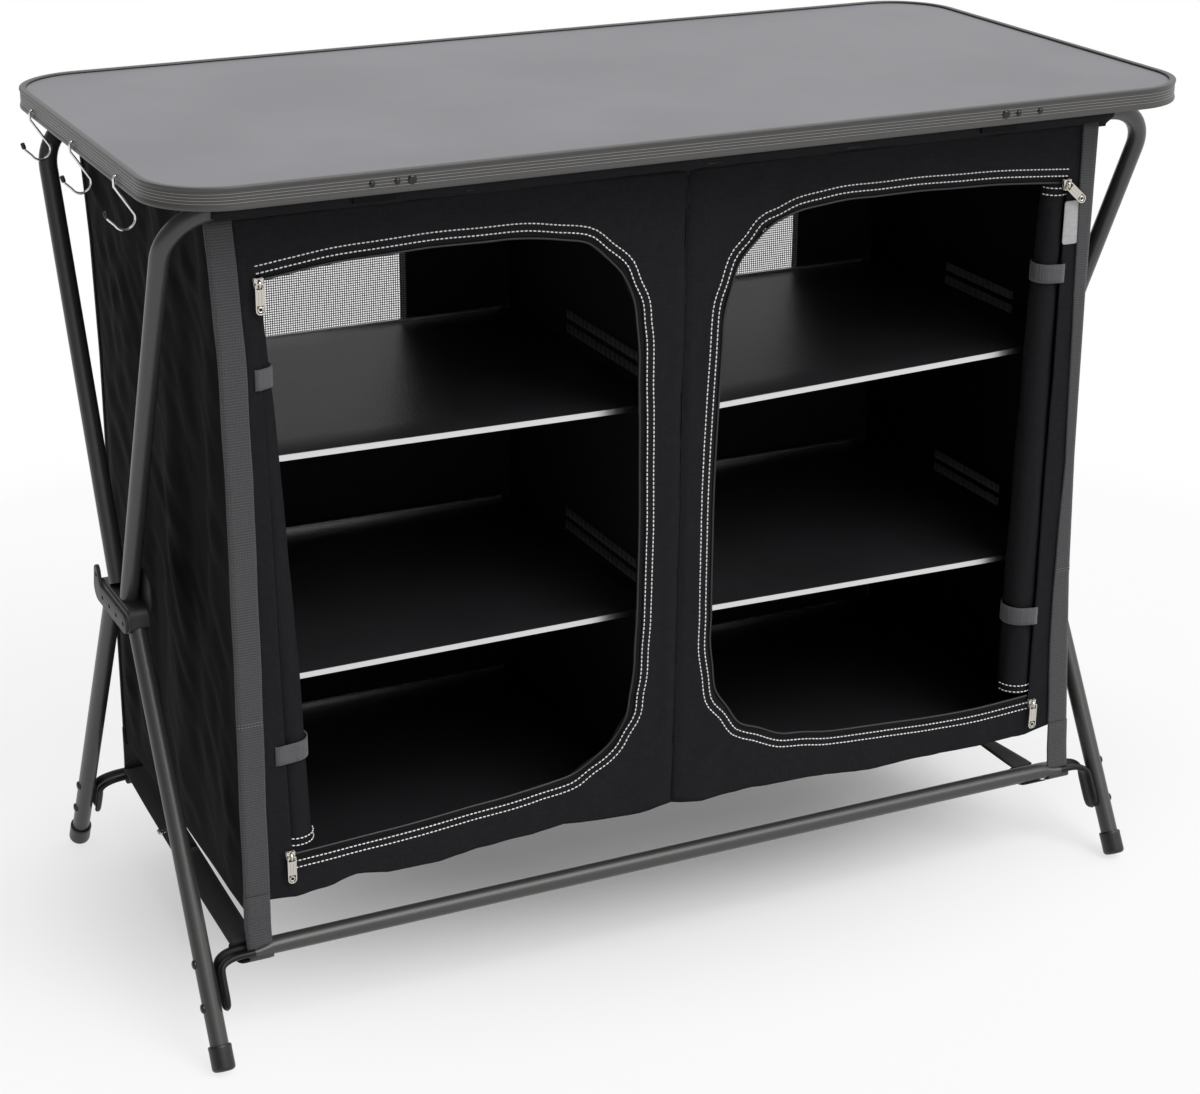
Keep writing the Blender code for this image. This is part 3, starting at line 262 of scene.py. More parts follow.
def carried(bm, ring, matrix):
    """Extrudes a ring of edges and carries the new ring with a matrix."""
    grown = bmesh.ops.extrude_edge_only(bm, edges=ring)["geom"]
    verts = [item for item in grown if isinstance(item, bmesh.types.BMVert)]
    edges = [item for item in grown if isinstance(item, bmesh.types.BMEdge)]
    fresh = set(verts)
    bmesh.ops.transform(bm, matrix=matrix, verts=verts)
    return [edge for edge in edges if fresh.issuperset(edge.verts)]


def rotation_about(point, axis, angle):
    return Matrix.Translation(point) @ Matrix.Rotation(angle, 4, axis) @ Matrix.Translation(-Vector(point))


def ring_of(bm, points, closed=True):
    """Vertices joined by edges, the section that a sweep starts from."""
    verts = [bm.verts.new(point) for point in points]
    pairs = list(zip(verts, verts[1:]))
    if closed:
        pairs.append((verts[-1], verts[0]))
    return [bm.edges.new(pair) for pair in pairs]


def finished(name, bm, materials, body, nodes, crease=35.0, merge=1e-6):
    """Closes a bmesh into a piece of the cupboard that moves with a body and stands for the given nodes."""
    bmesh.ops.remove_doubles(bm, verts=bm.verts, dist=merge)
    bmesh.ops.recalc_face_normals(bm, faces=bm.faces)
    mesh = bpy.data.meshes.new(name)
    bm.to_mesh(mesh)
    bm.free()
    for material in materials:
        mesh.materials.append(material)
    mesh.shade_smooth()
    mesh.set_sharp_from_angle(angle=math.radians(crease))
    item = bpy.data.objects.new(name, mesh)
    scene.collection.objects.link(item)
    if body:
        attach(item, body)
    if nodes:
        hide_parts(*nodes)
    return item


def coated_metal(name, dark, light, rough, texture, depth, metallic):
    """Powder coat: a fine pebbled skin, with a little grain in its colour."""
    material, tree, where = new_material(name)
    grain = add(tree, "ShaderNodeTexNoise", {"Vector": where, "Scale": 1.0 / (texture * 1.6), "Detail": 3.0,
                                             "Roughness": 0.65})
    tint = add(tree, "ShaderNodeMix", {"Factor": grain.outputs["Fac"], 6: linear(dark), 7: linear(light)},
               data_type="RGBA")
    skin = add(tree, "ShaderNodeBsdfPrincipled", {
        "Base Color": tint.outputs[2], "Metallic": metallic, "Roughness": rough,
        "Normal": grained(tree, where, texture, depth)})
    add(tree, "ShaderNodeOutputMaterial", {"Surface": skin.outputs[0]})
    return material


rail_finish = coated_metal("grey_powder_coated_aluminium", *RAIL_COLOURS, 0.42, 0.0009, 0.00005, 0.30)

section = list(LIP_SECTION)
for height in LINE_HEIGHTS:
    section.append((WEB_INSET, height - LINE_HALF_WIDTH))
    section.append((WEB_INSET - LINE_RISE, height - LINE_HALF_WIDTH / 3))
    section.append((WEB_INSET - LINE_RISE, height + LINE_HALF_WIDTH / 3))
    section.append((WEB_INSET, height + LINE_HALF_WIDTH))
section.extend(UPPER_SECTION)
bm = bmesh.new()
half_x = TOP_WIDTH / 2
half_y = TOP_DEPTH / 2
start_x = -half_x + CORNER_RADIUS
ring = ring_of(bm, [(start_x, -half_y + inset * MILLIMETRE, TOP_UNDERSIDE + height * MILLIMETRE)
                    for inset, height in section])
runs = ((TOP_WIDTH, (1, -1), (1, 0)), (TOP_DEPTH, (1, 1), (0, 1)), (TOP_WIDTH, (-1, 1), (-1, 0)),
        (TOP_DEPTH, (-1, -1), (0, -1)))
for length, corner, ahead in runs:
    move = Vector((ahead[0], ahead[1], 0.0)) * (length - 2 * CORNER_RADIUS)
    ring = carried(bm, ring, Matrix.Translation(move))
    centre = (corner[0] * (half_x - CORNER_RADIUS), corner[1] * (half_y - CORNER_RADIUS), 0.0)
    step = rotation_about(centre, "Z", math.pi / 2 / CORNER_STEPS)
    for number in range(CORNER_STEPS):
        ring = carried(bm, ring, step)
# The crests of the raised lines take a lighter copy of the coat, a painted highlight
for face in bm.faces:
    height = (face.calc_center_median().z - TOP_UNDERSIDE) / MILLIMETRE
    if min(abs(height - line) for line in LINE_HEIGHTS) < LINE_HALF_WIDTH / 2:
        face.material_index = 1
line_highlight_coat = coated_metal("powder_coat_painted_line_highlight", *LINE_HIGHLIGHT_COLOURS, 0.36, 0.0009, 0.00003, 0.60)
finished("tabletop_edge_rail", bm, [rail_finish, line_highlight_coat], "tabletop", ["tabletop_edge"],
         28.0, 1e-5)


# Edge rivets
# Two small blackened rivets and one larger domed one in each group through the front of the rail.
# They hold the strip inside that takes the catches.
RIVET_Z = TOP_UNDERSIDE + 0.010
RIVET_FACE = -half_y + WEB_INSET * MILLIMETRE
RIVET_RISE = 0.0022
HEAD_SIDES = 20
HEAD_STEPS = 5
# The cupboard's two sides, and which way each lies along X
HANDS = (("left", -1), ("right", 1))
# Place along the rail and radius in millimetres
RIVETS = ((-0.339, 2.7), (-0.316, 2.7), (-0.3025, 4.1), (0.2960, 4.1), (0.3100, 2.7), (0.3340, 2.7))


def domed(bm, centre, outward, radius, rise, rim=0.25):
    """A round head: a flat rim and a dome, set on centre and pointing outward."""
    steps = [(0.0, 0.0), (radius, 0.0), (radius, rise * rim)]
    for number in range(1, HEAD_STEPS):
        angle = math.pi / 2 * number / HEAD_STEPS
        steps.append((radius * math.cos(angle), rise * (rim + (1 - rim) * math.sin(angle))))
    steps.append((0.0, rise))
    spun(bm, steps, centre, outward, HEAD_SIDES)


def spun(bm, profile, centre, outward, around):
    """Turns a profile of distances and heights about an axis that points outward from centre."""
    before = len(bm.verts)
    edges = ring_of(bm, [(out, 0.0, height) for out, height in profile], closed=False)
    verts = list({vert for edge in edges for vert in edge.verts})
    bmesh.ops.spin(bm, geom=verts + edges, cent=(0, 0, 0), axis=(0, 0, 1), angle=math.tau, steps=around,
                   use_merge=True)
    turn = Vector(outward).to_track_quat("Z", "Y").to_matrix().to_4x4()
    bmesh.ops.transform(bm, matrix=Matrix.Translation(centre) @ turn, verts=list(bm.verts)[before:])


def plain(name, colour, rough, grain, depth, extra=()):
    """A material of one colour with a fine grain."""
    material, tree, where = new_material(name)
    inputs = {"Base Color": linear(colour), "Roughness": rough, "Normal": grained(tree, where, grain, depth)}
    inputs.update(extra)
    skin = add(tree, "ShaderNodeBsdfPrincipled", inputs)
    add(tree, "ShaderNodeOutputMaterial", {"Surface": skin.outputs[0]})
    return material


blackened = plain("blackened_steel_rivet", "#3c3b3b", 0.22, 0.0008, 0.00002, {"Metallic": 1.0})
for hand, side in HANDS:
    bm = bmesh.new()
    for x, radius in RIVETS:
        if x * side > 0:
            domed(bm, (x, RIVET_FACE, RIVET_Z), (0, -1, 0), radius * MILLIMETRE, RIVET_RISE)
    finished(hand + "_edge_rivet_heads", bm, [blackened], "tabletop", [hand + "_edge_rivets"],
             40.0)


# Hooks
# Three cutlery hooks of chromed wire that drop from holes in the left side of the rail, turn through a round
# bowl and end in a black sleeve.
HOOK_YS = (("rear", 0.150), ("middle", 0.008), ("front", -0.132))
WIRE_RADIUS = 0.00125
SLEEVE_RADIUS = 0.0021
HOOK_HOLE_Z = TOP_UNDERSIDE + 0.008
HOOK_BOWL = 0.0098
HOOK_DROP = 0.0400


def arc(centre, radius, start, end, steps):
    """Points of a circular arc in a plane, angles in degrees."""
    turns = [math.radians(start + (end - start) * number / steps) for number in range(steps + 1)]
    return [(centre[0] + radius * math.cos(turn), centre[1] + radius * math.sin(turn)) for turn in turns]


def stations(points, across, sizes=None):
    """A matrix for each point of a route: its Z runs along the route and its X stays near across."""
    points = [Vector(point) for point in points]
    made = []
    for number, point in enumerate(points):
        along = (points[min(number + 1, len(points) - 1)] - points[max(number - 1, 0)]).normalized()
        side = (Vector(across) - along * along.dot(across)).normalized()
        wide, thick = sizes[number] if sizes else (1.0, 1.0)
        matrix = Matrix((side * wide, along.cross(side) * thick, along)).transposed().to_4x4()
        matrix.translation = point
        made.append(matrix)
    return made


def swept(bm, section, places, cap=True):
    """Draws a closed section, given in its own X and Y, through a list of station matrices."""
    ring = ring_of(bm, [places[0] @ Vector((x, y, 0.0)) for x, y in section])
    if cap:
        bmesh.ops.contextual_create(bm, geom=ring)
    for before, after in zip(places, places[1:]):
        ring = carried(bm, ring, after @ before.inverted())
    if cap:
        bmesh.ops.contextual_create(bm, geom=ring)


def circle(radius, sides):
    return arc((0.0, 0.0), radius, 0.0, 360.0 - 360.0 / sides, sides - 1)


chrome = plain("chromed_wire", "#d9d9d8", 0.10, 0.002, 0.00002, {"Metallic": 1.0})
sleeve_rubber = plain("black_pvc_sleeve", "#141414", 0.45, 0.001, 0.00005)
out = -0.0021
bowl = (0.0155 - HOOK_BOWL, HOOK_BOWL - HOOK_DROP - 0.008)
route = [(0.010, 0.0)]
route += arc((out + 0.0026, -0.0026), 0.0026, 90, 180, 6)
route.append((out, -0.009))
route += arc(bowl, HOOK_BOWL, 18, -150, 22)
route += [(-0.0090, bowl[1] + 0.0010), (-0.0100, bowl[1] + 0.0036), (-0.0112, bowl[1] + 0.0076)]
for place, y in HOOK_YS:
    bm = bmesh.new()
    line = [(-half_x + x, y, HOOK_HOLE_Z + z) for x, z in route]
    swept(bm, circle(WIRE_RADIUS, 14), stations(line, (0, 1, 0)))
    chromed = len(bm.faces)
    last, end = Vector(line[-2]), Vector(line[-1])
    sleeve = [last - (end - last) * 0.35, last, end, end + (end - last) * 0.12]
    sizes = [(0.85, 0.85), (1.0, 1.0), (1.0, 1.0), (0.6, 0.6)]
    swept(bm, circle(SLEEVE_RADIUS, 14), stations(sleeve, (0, 1, 0), sizes))
    bm.faces.ensure_lookup_table()
    for face in bm.faces[chromed:]:
        face.material_index = 1
    finished(place + "_hook_wire", bm, [chrome, sleeve_rubber], "hook_" + place, [place + "_hook"],
             60.0)


# Frame tubes
# Bent steel tube, 18 mm across, with a dark grey textured powder coat: two upper hoops under the table top
# and four straight legs below the side joints.
TUBE_RADIUS = 0.0090
TUBE_SIDES = 32
LEG_X = 0.505
TOP_TUBE_Y = 0.200
TOP_TUBE_Z = 0.8125
TOP_BEND = 0.048
KNEE_Y = 0.022
KNEE_Z = 0.405
FOOT_Y = 0.2480
FOOT_Z = 0.0112
TUBE_COLOURS = ("#3f3f3f", "#4c4b4a")
# The front and the rear, which way each lies along Y, and the four corners
ENDS = (("front", -1), ("rear", 1))
QUARTERS = [(end, facing, hand, side) for end, facing in ENDS for hand, side in HANDS]

tube_coat = coated_metal("dark_grey_textured_powder_coat", *TUBE_COLOURS, 0.34, 0.0011, 0.00006, 0.35)
tube_section = circle(TUBE_RADIUS, TUBE_SIDES)
hoop_length = math.hypot(TOP_TUBE_Y - KNEE_Y, TOP_TUBE_Z - KNEE_Z)
hoop_along = ((TOP_TUBE_Y - KNEE_Y) / hoop_length, (TOP_TUBE_Z - KNEE_Z) / hoop_length)
hoop_route = [(-LEG_X, -0.0098), (-LEG_X, 0.20)]
hoop_route += arc((-LEG_X + TOP_BEND, hoop_length - TOP_BEND), TOP_BEND, 180, 90, 14)
hoop_route += arc((LEG_X - TOP_BEND, hoop_length - TOP_BEND), TOP_BEND, 90, 0, 14)
hoop_route += [(LEG_X, 0.20), (LEG_X, -0.0098)]
for end, facing in ENDS:
    bm = bmesh.new()
    line = [(x, facing * (KNEE_Y + s * hoop_along[0]), KNEE_Z + s * hoop_along[1]) for x, s in hoop_route]
    swept(bm, tube_section, stations(line, (0.0, hoop_along[1], -facing * hoop_along[0])))
    finished(end + "_hoop", bm, [tube_coat], end + "_upper", [end + "_upper_frame"], 50.0)

leg_length = math.hypot(FOOT_Y - KNEE_Y, KNEE_Z - FOOT_Z)
leg_along = ((FOOT_Y - KNEE_Y) / leg_length, -(KNEE_Z - FOOT_Z) / leg_length)


def on_leg(side, facing, distance):
    """A point on a leg's centre line, measured down from the knee."""
    return Vector((side * LEG_X, facing * (KNEE_Y + distance * leg_along[0]),
                   KNEE_Z + distance * leg_along[1]))


for end, facing, hand, side in QUARTERS:
    bm = bmesh.new()
    line = [on_leg(side, facing, distance) for distance in (0.0193, 0.22, leg_length - 0.005)]
    swept(bm, tube_section, stations(line, (1, 0, 0)))
    name = "%s_%s_leg" % (end, hand)
    finished(name + "_tube", bm, [tube_coat], end + "_lower", [name], 50.0)


# Feet
# Black rubber caps pushed on the legs' ends, with a thin rim at the top and a rounded sole.
CAP_RADIUS = 0.0112
CAP_SIDES = 28
rubber, tree, where = new_material("black_moulded_rubber")
scuff = add(tree, "ShaderNodeTexNoise", {"Vector": where, "Scale": 1 / 0.012, "Detail": 4.0,
                                         "Roughness": 0.7})
worn = add(tree, "ShaderNodeMapRange", {"Value": scuff.outputs["Fac"], "From Min": 0.45, "From Max": 0.80})
tint = add(tree, "ShaderNodeMix", {"Factor": worn.outputs[0], 6: linear("#0f0f0f"), 7: linear("#1c1c1b")},
           data_type="RGBA")
skin = add(tree, "ShaderNodeBsdfPrincipled", {
    "Base Color": tint.outputs[2], "Roughness": 0.40, "Normal": grained(tree, where, 0.0012, 0.00008, 3.0)})
add(tree, "ShaderNodeOutputMaterial", {"Surface": skin.outputs[0]})
cap_profile = [(0.0, -0.0082), (0.0040, -0.0081)] + arc((CAP_RADIUS - 0.0040, -0.0038), 0.0040, -88, 0, 7)
cap_profile += [(0.0111, 0.0120), (0.0113, 0.0145), (0.0112, 0.0160), (0.0106, 0.0168), (0.0091, 0.0168),
                (0.0091, 0.0060), (0.0, 0.0060)]
for end, facing, hand, side in QUARTERS:
    bm = bmesh.new()
    up = on_leg(side, facing, 0.0) - on_leg(side, facing, 1.0)
    spun(bm, cap_profile, on_leg(side, facing, leg_length), up, CAP_SIDES)
    name = "%s_%s_foot" % (end, hand)
    finished(name + "_cap", bm, [rubber], end + "_lower", [name], 40.0)


# Rails
# A tube between the two legs of a pair. Its ends are pressed flat with a groove, bent down along the inner
# sides of the legs, and fixed there with two domed rivets each.
RAIL_Z = 0.096
RAIL_Y = 0.2015
TAB_X = 0.4902
TAB_LOW = 0.050
TAB_HIGH = 0.083
RAIL_END = 0.455
TAB_BEND = 0.026
TAB_SECTION = ((-10.5, -2.0), (-8.0, -3.6), (-4.0, -3.6), (0.0, -3.2), (4.0, -3.6), (8.0, -3.6),
               (10.5, -2.0), (11.2, 0.0), (10.5, 2.0), (8.5, 3.4), (5.5, 3.2), (2.5, 0.6), (0.0, -0.2),
               (-2.5, 0.6), (-5.5, 3.2), (-8.5, 3.4), (-10.5, 2.0), (-11.2, 0.0))
rail_end_coat = plain("black_gloss_coat", "#101010", 0.38, 0.0011, 0.00005, {"Specular IOR Level": 0.25})


def leg_y(height):
    return KNEE_Y + (KNEE_Z - height) * leg_along[0] / -leg_along[1]


def lofted(bm, rows, closed=False):
    """Joins rows of points into a skin, and returns the edges of each row."""
    rings = [ring_of(bm, row, closed) for row in rows]
    for before, after in zip(rings, rings[1:]):
        bmesh.ops.bridge_loops(bm, edges=before + after)
    return rings


# The round section has as many points as the pressed one, and starts at the same side
flats = [(x * MILLIMETRE, y * MILLIMETRE) for x, y in TAB_SECTION]
section_start = math.degrees(math.atan2(TAB_SECTION[0][1], TAB_SECTION[0][0]))
section_end = section_start + 360.0 - 360.0 / len(flats)
rounds = arc((0.0, 0.0), TUBE_RADIUS, section_start, section_end, len(flats) - 1)
for end, facing in ENDS:
    bm = bmesh.new()
    low, high, corner = [Vector((TAB_X + 0.0010, facing * leg_y(height), height))
                         for height in (TAB_LOW, TAB_HIGH, RAIL_Z)]
    level = Vector((TAB_X - TAB_BEND, facing * RAIL_Y, RAIL_Z))
    line = [low, low.lerp(high, 0.5), high]
    line += [high * (1 - t) ** 2 + corner * 2 * t * (1 - t) + level * t ** 2 for t in
             [number / 8 for number in range(1, 9)]]
    line += [level + Vector((-move, 0, 0)) for move in (0.008, 0.016, 0.024, 0.032)]
    line += [Vector((0.0, facing * RAIL_Y, RAIL_Z))]
    line += [Vector((-point.x, point.y, point.z)) for point in reversed(line[:-1])]
    pressed = [1.0] * 11 + [0.85, 0.50, 0.15, 0.0, 0.0]
    pressed += pressed[-2::-1]
    rings = lofted(bm, [[place @ Vector((fx * press + rx * (1 - press), fy * press + ry * (1 - press), 0.0))
                         for (fx, fy), (rx, ry) in zip(flats, rounds)]
                        for place, press in zip(stations(line, (0.0, -1.0, 0.0)), pressed)], True)
    bmesh.ops.contextual_create(bm, geom=rings[0])
    bmesh.ops.contextual_create(bm, geom=rings[-1])
    for face in bm.faces:
        face.material_index = int(abs(face.calc_center_median().x) > RAIL_END)
    rail = finished(end + "_rail_tube", bm, [tube_coat, rail_end_coat], end + "_lower", [end + "_rail"],
                    45.0)
    round_off = rail.modifiers.new("smooth", "SUBSURF")
    round_off.levels = 2
    round_off.render_levels = 2


# Side joints
# A black glass-filled nylon moulding on each side: an outer plate with a raised bar and five holes, a thin
# flange inside, and a spacer between them that the tube ends turn in.
OUTER_FACE_X = 0.5143
PLATE_THICK = 0.0020
BAR_THICK = 0.0025
INNER_FACE_X = 0.4957
FLANGE_THICK = 0.0025
PLATE_LOW = (-0.052, 0.3690)
PLATE_HIGH = (0.052, 0.3915)
PLATE_RADII = (0.009, 0.009, 0.006, 0.006)
SPACER_LOW = (-0.0505, 0.3715)
SPACER_HIGH = (0.0505, 0.3940)
SPACER_RADII = (0.006, 0.006, 0.010, 0.010)
FLANGE_SIZE = (0.116, 0.050)
BAR_Z = 0.378
BAR_HALF = 0.0095
FLANGE_RADIUS = 0.023
HOLE_RADIUS = 0.0023
BAR_HOLES = ((-0.0400, 0.3780), (-0.0165, 0.3780), (0.0070, 0.3780), (0.0305, 0.3780), (0.0490, 0.3952))


def rounded_box(low, high, radii, steps=6):
    """A rectangle's outline with a radius at each corner, from the lower left to the upper left."""
    outline = []
    corners = ((low[0], low[1], 180), (high[0], low[1], 270), (high[0], high[1], 0), (low[0], high[1], 90))
    for (x, y, start), radius in zip(corners, radii):
        inward = [math.copysign(radius, far - place - 1e-9) for far, place in zip(high, (x, y))]
        outline += arc((x + inward[0], y + inward[1]), radius, start, start + 90, steps)
    return outline


PLANES = {"YZ": lambda a, b: (0.0, a, b), "XZ": lambda a, b: (a, 0.0, b), "XY": lambda a, b: (a, b, 0.0)}


def plate(bm, plane, outline, start, move, ease):
    """A flat piece: an outline in a plane, moved to start, drawn out by move, with its front edge eased."""
    ring = ring_of(bm, [Vector(start) + Vector(PLANES[plane](a, b)) for a, b in outline])
    bmesh.ops.contextual_create(bm, geom=ring)
    ring = carried(bm, ring, Matrix.Translation(move))
    bmesh.ops.contextual_create(bm, geom=ring)
    if ease:
        bmesh.ops.bevel(bm, geom=ring, offset=ease, segments=2, affect="EDGES", profile=0.5, material=-1)


def cut_out(item, cutters):
    """Takes the shapes in a bmesh out of a piece for good."""
    mesh = bpy.data.meshes.new("cutters")
    bmesh.ops.recalc_face_normals(cutters, faces=cutters.faces)
    cutters.to_mesh(mesh)
    cutters.free()
    tool = bpy.data.objects.new("cutters", mesh)
    scene.collection.objects.link(tool)
    knife = item.modifiers.new("cut", "BOOLEAN")
    knife.object = tool
    knife.solver = "EXACT"
    knife.use_self = True
    graph = bpy.context.evaluated_depsgraph_get()
    graph.update()
    cut_mesh = bpy.data.meshes.new_from_object(item.evaluated_get(graph), depsgraph=graph)
    item.modifiers.clear()
    item.data = cut_mesh
    bpy.data.objects.remove(tool)
    cut_mesh.shade_smooth()
    cut_mesh.set_sharp_from_angle(angle=math.radians(35.0))


nylon = coated_metal("black_glass_filled_nylon", "#151515", "#202020", 0.50, 0.0013, 0.00012, 0.0)
for hand, side in HANDS:
    bm = bmesh.new()
    plate(bm, "YZ", rounded_box(PLATE_LOW, PLATE_HIGH, PLATE_RADII, 8), (side * OUTER_FACE_X, 0, 0),
          (side * PLATE_THICK, 0, 0), 0.0008)
    bar = arc((-0.040, BAR_Z), BAR_HALF, 90, 270, 12)
    bar += arc((0.0462, BAR_Z + 0.0047), 0.0142, 270, 360, 8)
    bar += arc((0.0500, BAR_Z + 0.0200), 0.0070, 0, 180, 10)
    bar += [(0.0395, BAR_Z + 0.0135), (0.0365, BAR_Z + 0.0105), (0.0330, BAR_Z + BAR_HALF)]
    plate(bm, "YZ", bar, (side * (OUTER_FACE_X + PLATE_THICK * 0.5), 0, 0),
          (side * (PLATE_THICK * 0.5 + BAR_THICK), 0, 0), 0.0007)
    outer = finished(hand + "_joint_plate", bm, [nylon], "cloth_body", [hand + "_joint_outer"])
    cutters = bmesh.new()
    for y, z in BAR_HOLES:
        spot = (side * (OUTER_FACE_X + PLATE_THICK + 0.0003), y, z)
        hole = [(a * 1.25, b * 0.95) for a, b in circle(HOLE_RADIUS, 16)]
        plate(cutters, "YZ", hole, spot, (side * 0.006, 0, 0), 0.0)
    cut_out(outer, cutters)
    bm = bmesh.new()
    plate(bm, "YZ", rounded_box(SPACER_LOW, SPACER_HIGH, SPACER_RADII), (side * INNER_FACE_X, 0, 0),
          (side * (OUTER_FACE_X - INNER_FACE_X), 0, 0), 0.0008)
    finished(hand + "_joint_spacer", bm, [nylon], "cloth_body", ())
    bm = bmesh.new()
    half_width, half_height = FLANGE_SIZE[0] / 2, FLANGE_SIZE[1] / 2
    outline = rounded_box((-half_width, -half_height), (half_width, half_height), (FLANGE_RADIUS,) * 4, 8)
    plate(bm, "YZ", outline, (side * INNER_FACE_X, 0, KNEE_Z), (-side * FLANGE_THICK, 0, 0), 0.0008)
    finished(hand + "_joint_flange", bm, [nylon], "cloth_body", [hand + "_joint_inner"])
catch_nylon = plain("black_moulded_catch", "#151515", 0.8, 0.001, 0.00005, {"Specular IOR Level": 0.15})
for end, facing, hand, side in QUARTERS:
    repainted("%s_%s_catch" % (hand, end), catch_nylon)


# Rivets of the rails
# Two domed steel rivets, blackened like the edge rivets, go through each leg and the pressed end of its rail.
RAIL_RIVET_HEIGHTS = (0.0570, 0.0930)
RAIL_RIVET_RADIUS = 0.0046
RAIL_RIVET_RISE = 0.0030
RIVET_SUNK = 0.0007
for end, facing, hand, side in QUARTERS:
    bm = bmesh.new()
    for height in RAIL_RIVET_HEIGHTS:
        seat = Vector((side * LEG_X, facing * leg_y(height), height))
        seat += Vector((side * (TUBE_RADIUS - RIVET_SUNK), 0, 0))
        domed(bm, seat, (side, 0, 0), RAIL_RIVET_RADIUS, RAIL_RIVET_RISE, 0.3)
    finished("%s_%s_rail_rivets" % (end, hand), bm, [blackened], end + "_lower", ())


# Front cloth
# Black 600 denier polyester in two halves, sewn together and to the divider at the middle. Each half has a
# door opening with a zip, double white stitching round it, and a turned hem that hangs in waves.
CLOTH_HALF = 0.461
CLOTH_TOP = 0.8026
FRONT_Y = 0.2003
SEAM_X = ((0.13, -0.0110), (0.45, -0.0090), (0.8026, -0.0075))
HEM = ((-0.470, 0.145), (-0.435, 0.1445), (-0.409, 0.1420), (-0.376, 0.1465), (-0.352, 0.1520),
       (-0.318, 0.1466), (-0.264, 0.1465), (-0.206, 0.1510), (-0.129, 0.1560), (-0.083, 0.1516),
       (-0.045, 0.1505), (-0.017, 0.1537), (0.021, 0.1500), (0.060, 0.1513), (0.145, 0.1500),
       (0.201, 0.1438), (0.306, 0.1427), (0.359, 0.1431), (0.413, 0.1443), (0.437, 0.1480),
       (0.470, 0.1550))
# Where the two halves end before they are fitted to the hem and to the seam
PANEL_LOW = 0.134
PANEL_SEAM = -0.009
# The corners' distance from the middle at each height: the cloth leans a little to the left at its top
CORNERS = {-1: ((0.08, -0.4620), (0.57, -0.4615), (0.69, -0.4640), (0.80, -0.4700)),
           1: ((0.087, 0.4700), (0.16, 0.4650), (0.25, 0.4585), (0.32, 0.4535), (0.455, 0.4480),
               (0.63, 0.4450), (0.80, 0.4450))}
STRAP_OFF = 0.0021
OPENINGS = {
    -1: ((-0.4265, 0.7505), (-0.3909, 0.7549), (-0.3538, 0.7590), (-0.3075, 0.7604), (-0.2611, 0.7620),
         (-0.2176, 0.7610), (-0.1740, 0.7601), (-0.1418, 0.7552), (-0.1096, 0.7490), (-0.0902, 0.7337),
         (-0.0720, 0.7181), (-0.0636, 0.6988), (-0.0549, 0.6803), (-0.0526, 0.6596), (-0.0501, 0.6388),
         (-0.0497, 0.6004), (-0.0484, 0.5616), (-0.0478, 0.5113), (-0.0470, 0.4610), (-0.0476, 0.4091),
         (-0.0483, 0.3574), (-0.0501, 0.3293), (-0.0509, 0.3020), (-0.0545, 0.2820), (-0.0570, 0.2618),
         (-0.0677, 0.2452), (-0.0793, 0.2277), (-0.1017, 0.2144), (-0.1250, 0.2020), (-0.1595, 0.1976),
         (-0.1940, 0.1936), (-0.2461, 0.1901), (-0.2981, 0.1863), (-0.3556, 0.1836), (-0.4130, 0.1811)),
    1: ((0.4130, 0.7498), (0.3709, 0.7534), (0.3295, 0.7565), (0.2846, 0.7578), (0.2399, 0.7595),
         (0.2001, 0.7593), (0.1604, 0.7598), (0.1348, 0.7573), (0.1093, 0.7540), (0.0902, 0.7469),
         (0.0723, 0.7409), (0.0597, 0.7259), (0.0452, 0.7110), (0.0371, 0.6878), (0.0296, 0.6638),
         (0.0274, 0.6190), (0.0255, 0.5740), (0.0236, 0.5235), (0.0225, 0.4729), (0.0225, 0.4264),
         (0.0227, 0.3799), (0.0232, 0.3483), (0.0230, 0.3174), (0.0277, 0.2885), (0.0322, 0.2612),
         (0.0472, 0.2427), (0.0605, 0.2234), (0.0843, 0.2126), (0.1095, 0.2010), (0.1407, 0.1964),
         (0.1722, 0.1909), (0.2310, 0.1869), (0.2900, 0.1824), (0.3515, 0.1810), (0.4130, 0.1836)),
}
ROUND_STEPS = 180
EDGE_STEPS = 30
PANEL_RINGS = 14
CLOTH_THICK = 0.0011
CLOTH_COLOURS = ("#17171a", "#222224")
# A darker copy of the cloth colours for the side panels: painted shade
SIDE_SHADE_COLOURS = ("#030304", "#0b0b0d")
THREAD = 0.0011
SLUB = 0.009


def along_table(value, table):
    """The value beside another in a table of pairs, straight between them."""
    if value <= table[0][0]:
        return table[0][1]
    for (a, first), (b, second) in zip(table, table[1:]):
        if value <= b:
            return first + (second - first) * (value - a) / (b - a)
    return table[-1][1]


def corner_x(side, z):
    """Where the cloth turns round its corner at a height."""
    return along_table(z, CORNERS[side]) - side * STRAP_OFF


def smooth_through(points, steps):
    """Evenly spaced points on a smooth curve through the given ones."""
    points = [Vector(point) for point in points]
    ends = [points[0] * 2 - points[1]] + points + [points[-1] * 2 - points[-2]]
    fine = []
    for a, b, c, d in zip(ends, ends[1:], ends[2:], ends[3:]):
        for number in range(16):
            t = number / 16
            fine.append((b * 2 + (c - a) * t + (a * 2 - b * 5 + c * 4 - d) * t * t
                         + (b * 3 - a - c * 3 + d) * t * t * t) / 2)
    fine.append(points[-1])
    travelled = [0.0]
    for a, b in zip(fine, fine[1:]):
        travelled.append(travelled[-1] + (b - a).length)
    made = []
    spot = 0
    for number in range(steps + 1):
        target = travelled[-1] * number / steps
        while spot < len(fine) - 2 and travelled[spot + 1] < target:
            spot += 1
        share = (target - travelled[spot]) / max(travelled[spot + 1] - travelled[spot], 1e-9)
        made.append(fine[spot].lerp(fine[spot + 1], min(max(share, 0.0), 1.0)))
    return made


def ripple(a, b, size_a, size_b, seed):
    """Smooth noise from about -1 to 1 whose folds are size_a by size_b metres."""
    return noise.noise(Vector((a / size_a, b / size_b, seed)))


